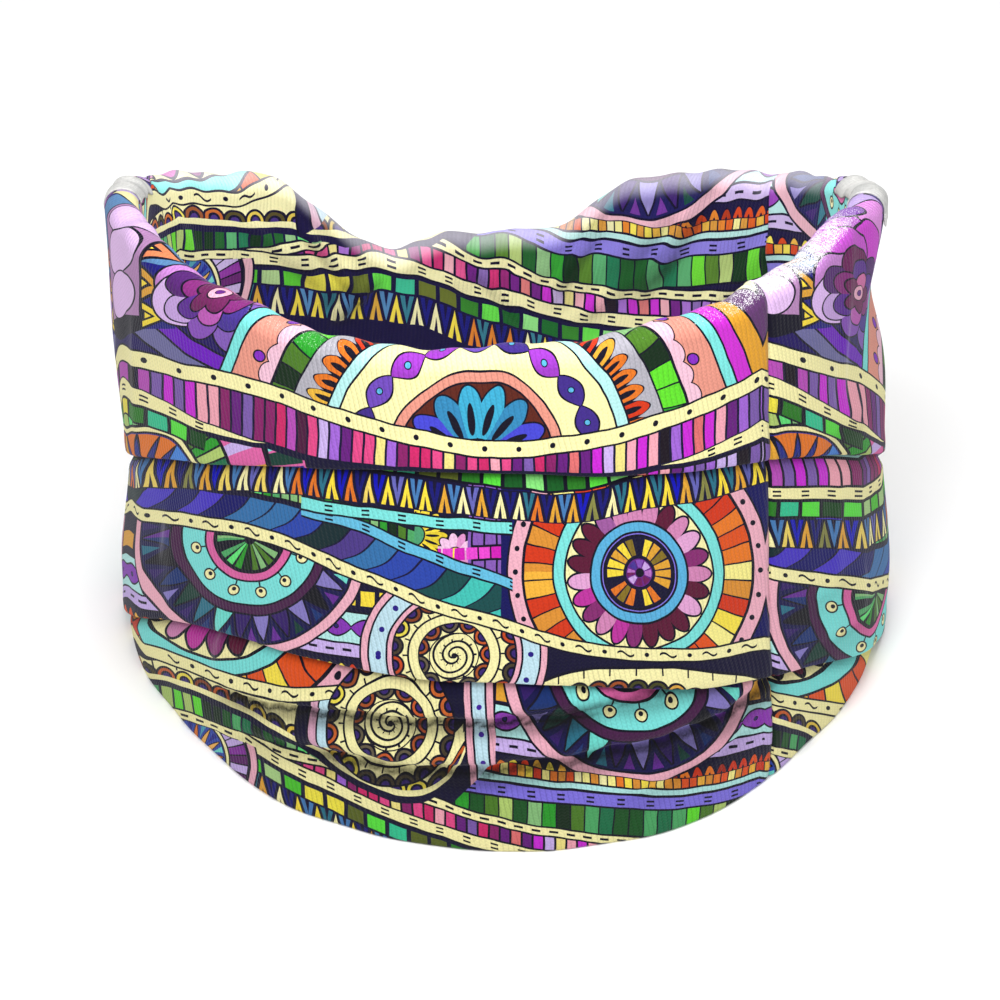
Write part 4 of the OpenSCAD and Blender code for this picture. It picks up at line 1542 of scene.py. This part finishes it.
def seams(tag, tier_out, runs):
    """Overlocked allowances and their thread on the hidden face of a tier; runs are
    (angle, lower z, upper z)."""
    out = tier_out - CLOTH + 0.35
    for i, run in enumerate(runs):
        nodes = [] if i else ["%s_seam_tape" % tag]
        place(seam_edge("%s_seam_edge_%d" % (tag, i + 1), *run, out), BODIES[tag],
              "seam_allowance", SEAM_EDGE, *nodes)
    threads = [thread for run in runs for thread in seam_threads(*run, out)]
    place(rope_object("%s_seam_overlock" % tag, threads), BODIES[tag], "thread", THREAD,
          "%s_seam_thread" % tag)


BOTH_SEAMS = (FRONT_SEAM, BACK_SEAM)
seams("upper", UPPER_OUT, [(seam, float(upper_hem(seam)) + 23.5, float(rim(seam)) - 8.5)
                           for seam in BOTH_SEAMS])
seams("middle", MIDDLE_OUT, [(FRONT_SEAM, float(middle_hem(FRONT_SEAM)) + 21.5,
                              float(upper_hem(FRONT_SEAM)) + 21)])
seams("lower", LOWER_OUT, [(seam, 11.0, float(middle_hem(seam)) + 19) for seam in BOTH_SEAMS])


# ---------------------------------------------------------------- facings
def facing(name, start, end, drop):
    """An unprinted patch wrapped over the roll, with a soft cut edge 'drop' below it."""
    angle = columns(start, end, 0.6)
    core_z = rim(angle) - ROLL
    over = np.linspace(0, 178, 34)[None] * DEGREE
    down = np.linspace(drop, 0.6, 10)[None]
    radius = ROLL + 0.30
    angles = np.broadcast_to(angle, (len(angle), 44))
    core = core_z + 0 * angles
    hang = (drape(angles, core) + ripples(angles, core) + groove(angles)
            + 0.8 * pull(angles, core))
    ragged = 0.5 * np.sin(angle * 1.7) + 0.35 * np.sin(angle * 4.3 + 1)
    z = np.hstack([core_z - down - ragged * down / drop, core_z + radius * np.sin(over)])
    offset = -ROLL + radius * np.hstack([1 + 0 * down, np.cos(over)])
    centre = at(angles, z + rim_shift(angles), offset + hang, np.minimum(z, core_z))
    arc = np.hstack([-down, over * radius])
    return sheet(name, centre, 0.42, {"knit": flat_uv(angles * 1.6, arc)})


for side, start, end, drop in (("left", -101, -86, 1.0), ("right", 80, 101, 4.5)):
    place(facing(side + "_rim_patch", start, end, drop), "upper", "facing_knit", FACING,
          side + "_rim_facing")


# ---------------------------------------------------------------- floor, light, camera (metres)
def build_floor(half=3.0):
    mesh = bpy.data.meshes.new("floor")
    mesh.from_pydata([(-half, -half, 0), (half, -half, 0), (half, half, 0), (-half, half, 0)],
                     [], [(0, 1, 2, 3)])
    floor = bpy.data.objects.new("floor", mesh)
    bpy.context.scene.collection.objects.link(floor)
    mat, _, bsdf = new_material("studio_floor")
    bsdf.inputs["Base Color"].default_value = (0.95, 0.95, 0.95, 1)
    bsdf.inputs["Roughness"].default_value = 0.9
    bsdf.inputs["Specular IOR Level"].default_value = 0.1
    mesh.materials.append(mat)


def aim(ob, source, target):
    direction = Vector(target) - Vector(source)
    ob.rotation_euler = direction.to_track_quat("-Z", "Y").to_euler()


def area(name, source, target, size, energy):
    light = bpy.data.lights.new(name, "AREA")
    light.shape = "DISK"
    light.size = size
    light.energy = energy
    ob = bpy.data.objects.new(name, light)
    ob.location = source
    aim(ob, source, target)
    scene.collection.objects.link(ob)
    return ob


def build_camera(sensor=36.0):
    camera = bpy.data.cameras.new("camera")
    camera.sensor_width = sensor
    camera.lens = sensor * DISTANCE / VIEW_WIDTH
    camera.clip_start, camera.clip_end = 0.01, 20.0
    ob = bpy.data.objects.new("camera", camera)
    ob.location = Vector(EYE / 1000.0)
    aim(ob, EYE, TARGET)
    scene.collection.objects.link(ob)
    scene.camera = ob


build_floor()
scene = bpy.context.scene
world = bpy.data.worlds.new("studio")
scene.world = world
world.use_nodes = True
background = world.node_tree.nodes["Background"]
background.inputs["Color"].default_value = (1, 1, 1, 1)
background.inputs["Strength"].default_value = 0.60

area("key", source=(-0.40, -0.62, 1.0), target=(0, 0, 0.06), size=0.5, energy=4.8)
inside = area("inside", source=(0.0, -0.13, 0.32), target=(0, 0.09, 0.07), size=0.24,
              energy=0.72)
inside.visible_camera = False
area("fill", source=(0.9, -0.6, 0.5), target=(0, 0, 0.06), size=0.5, energy=1.6)
area("top", source=(0.15, 0.25, 1.2), target=(0, 0, 0.08), size=0.5, energy=3.6)
build_camera()
scene.view_settings.view_transform = "Standard"
scene.view_settings.look = "None"
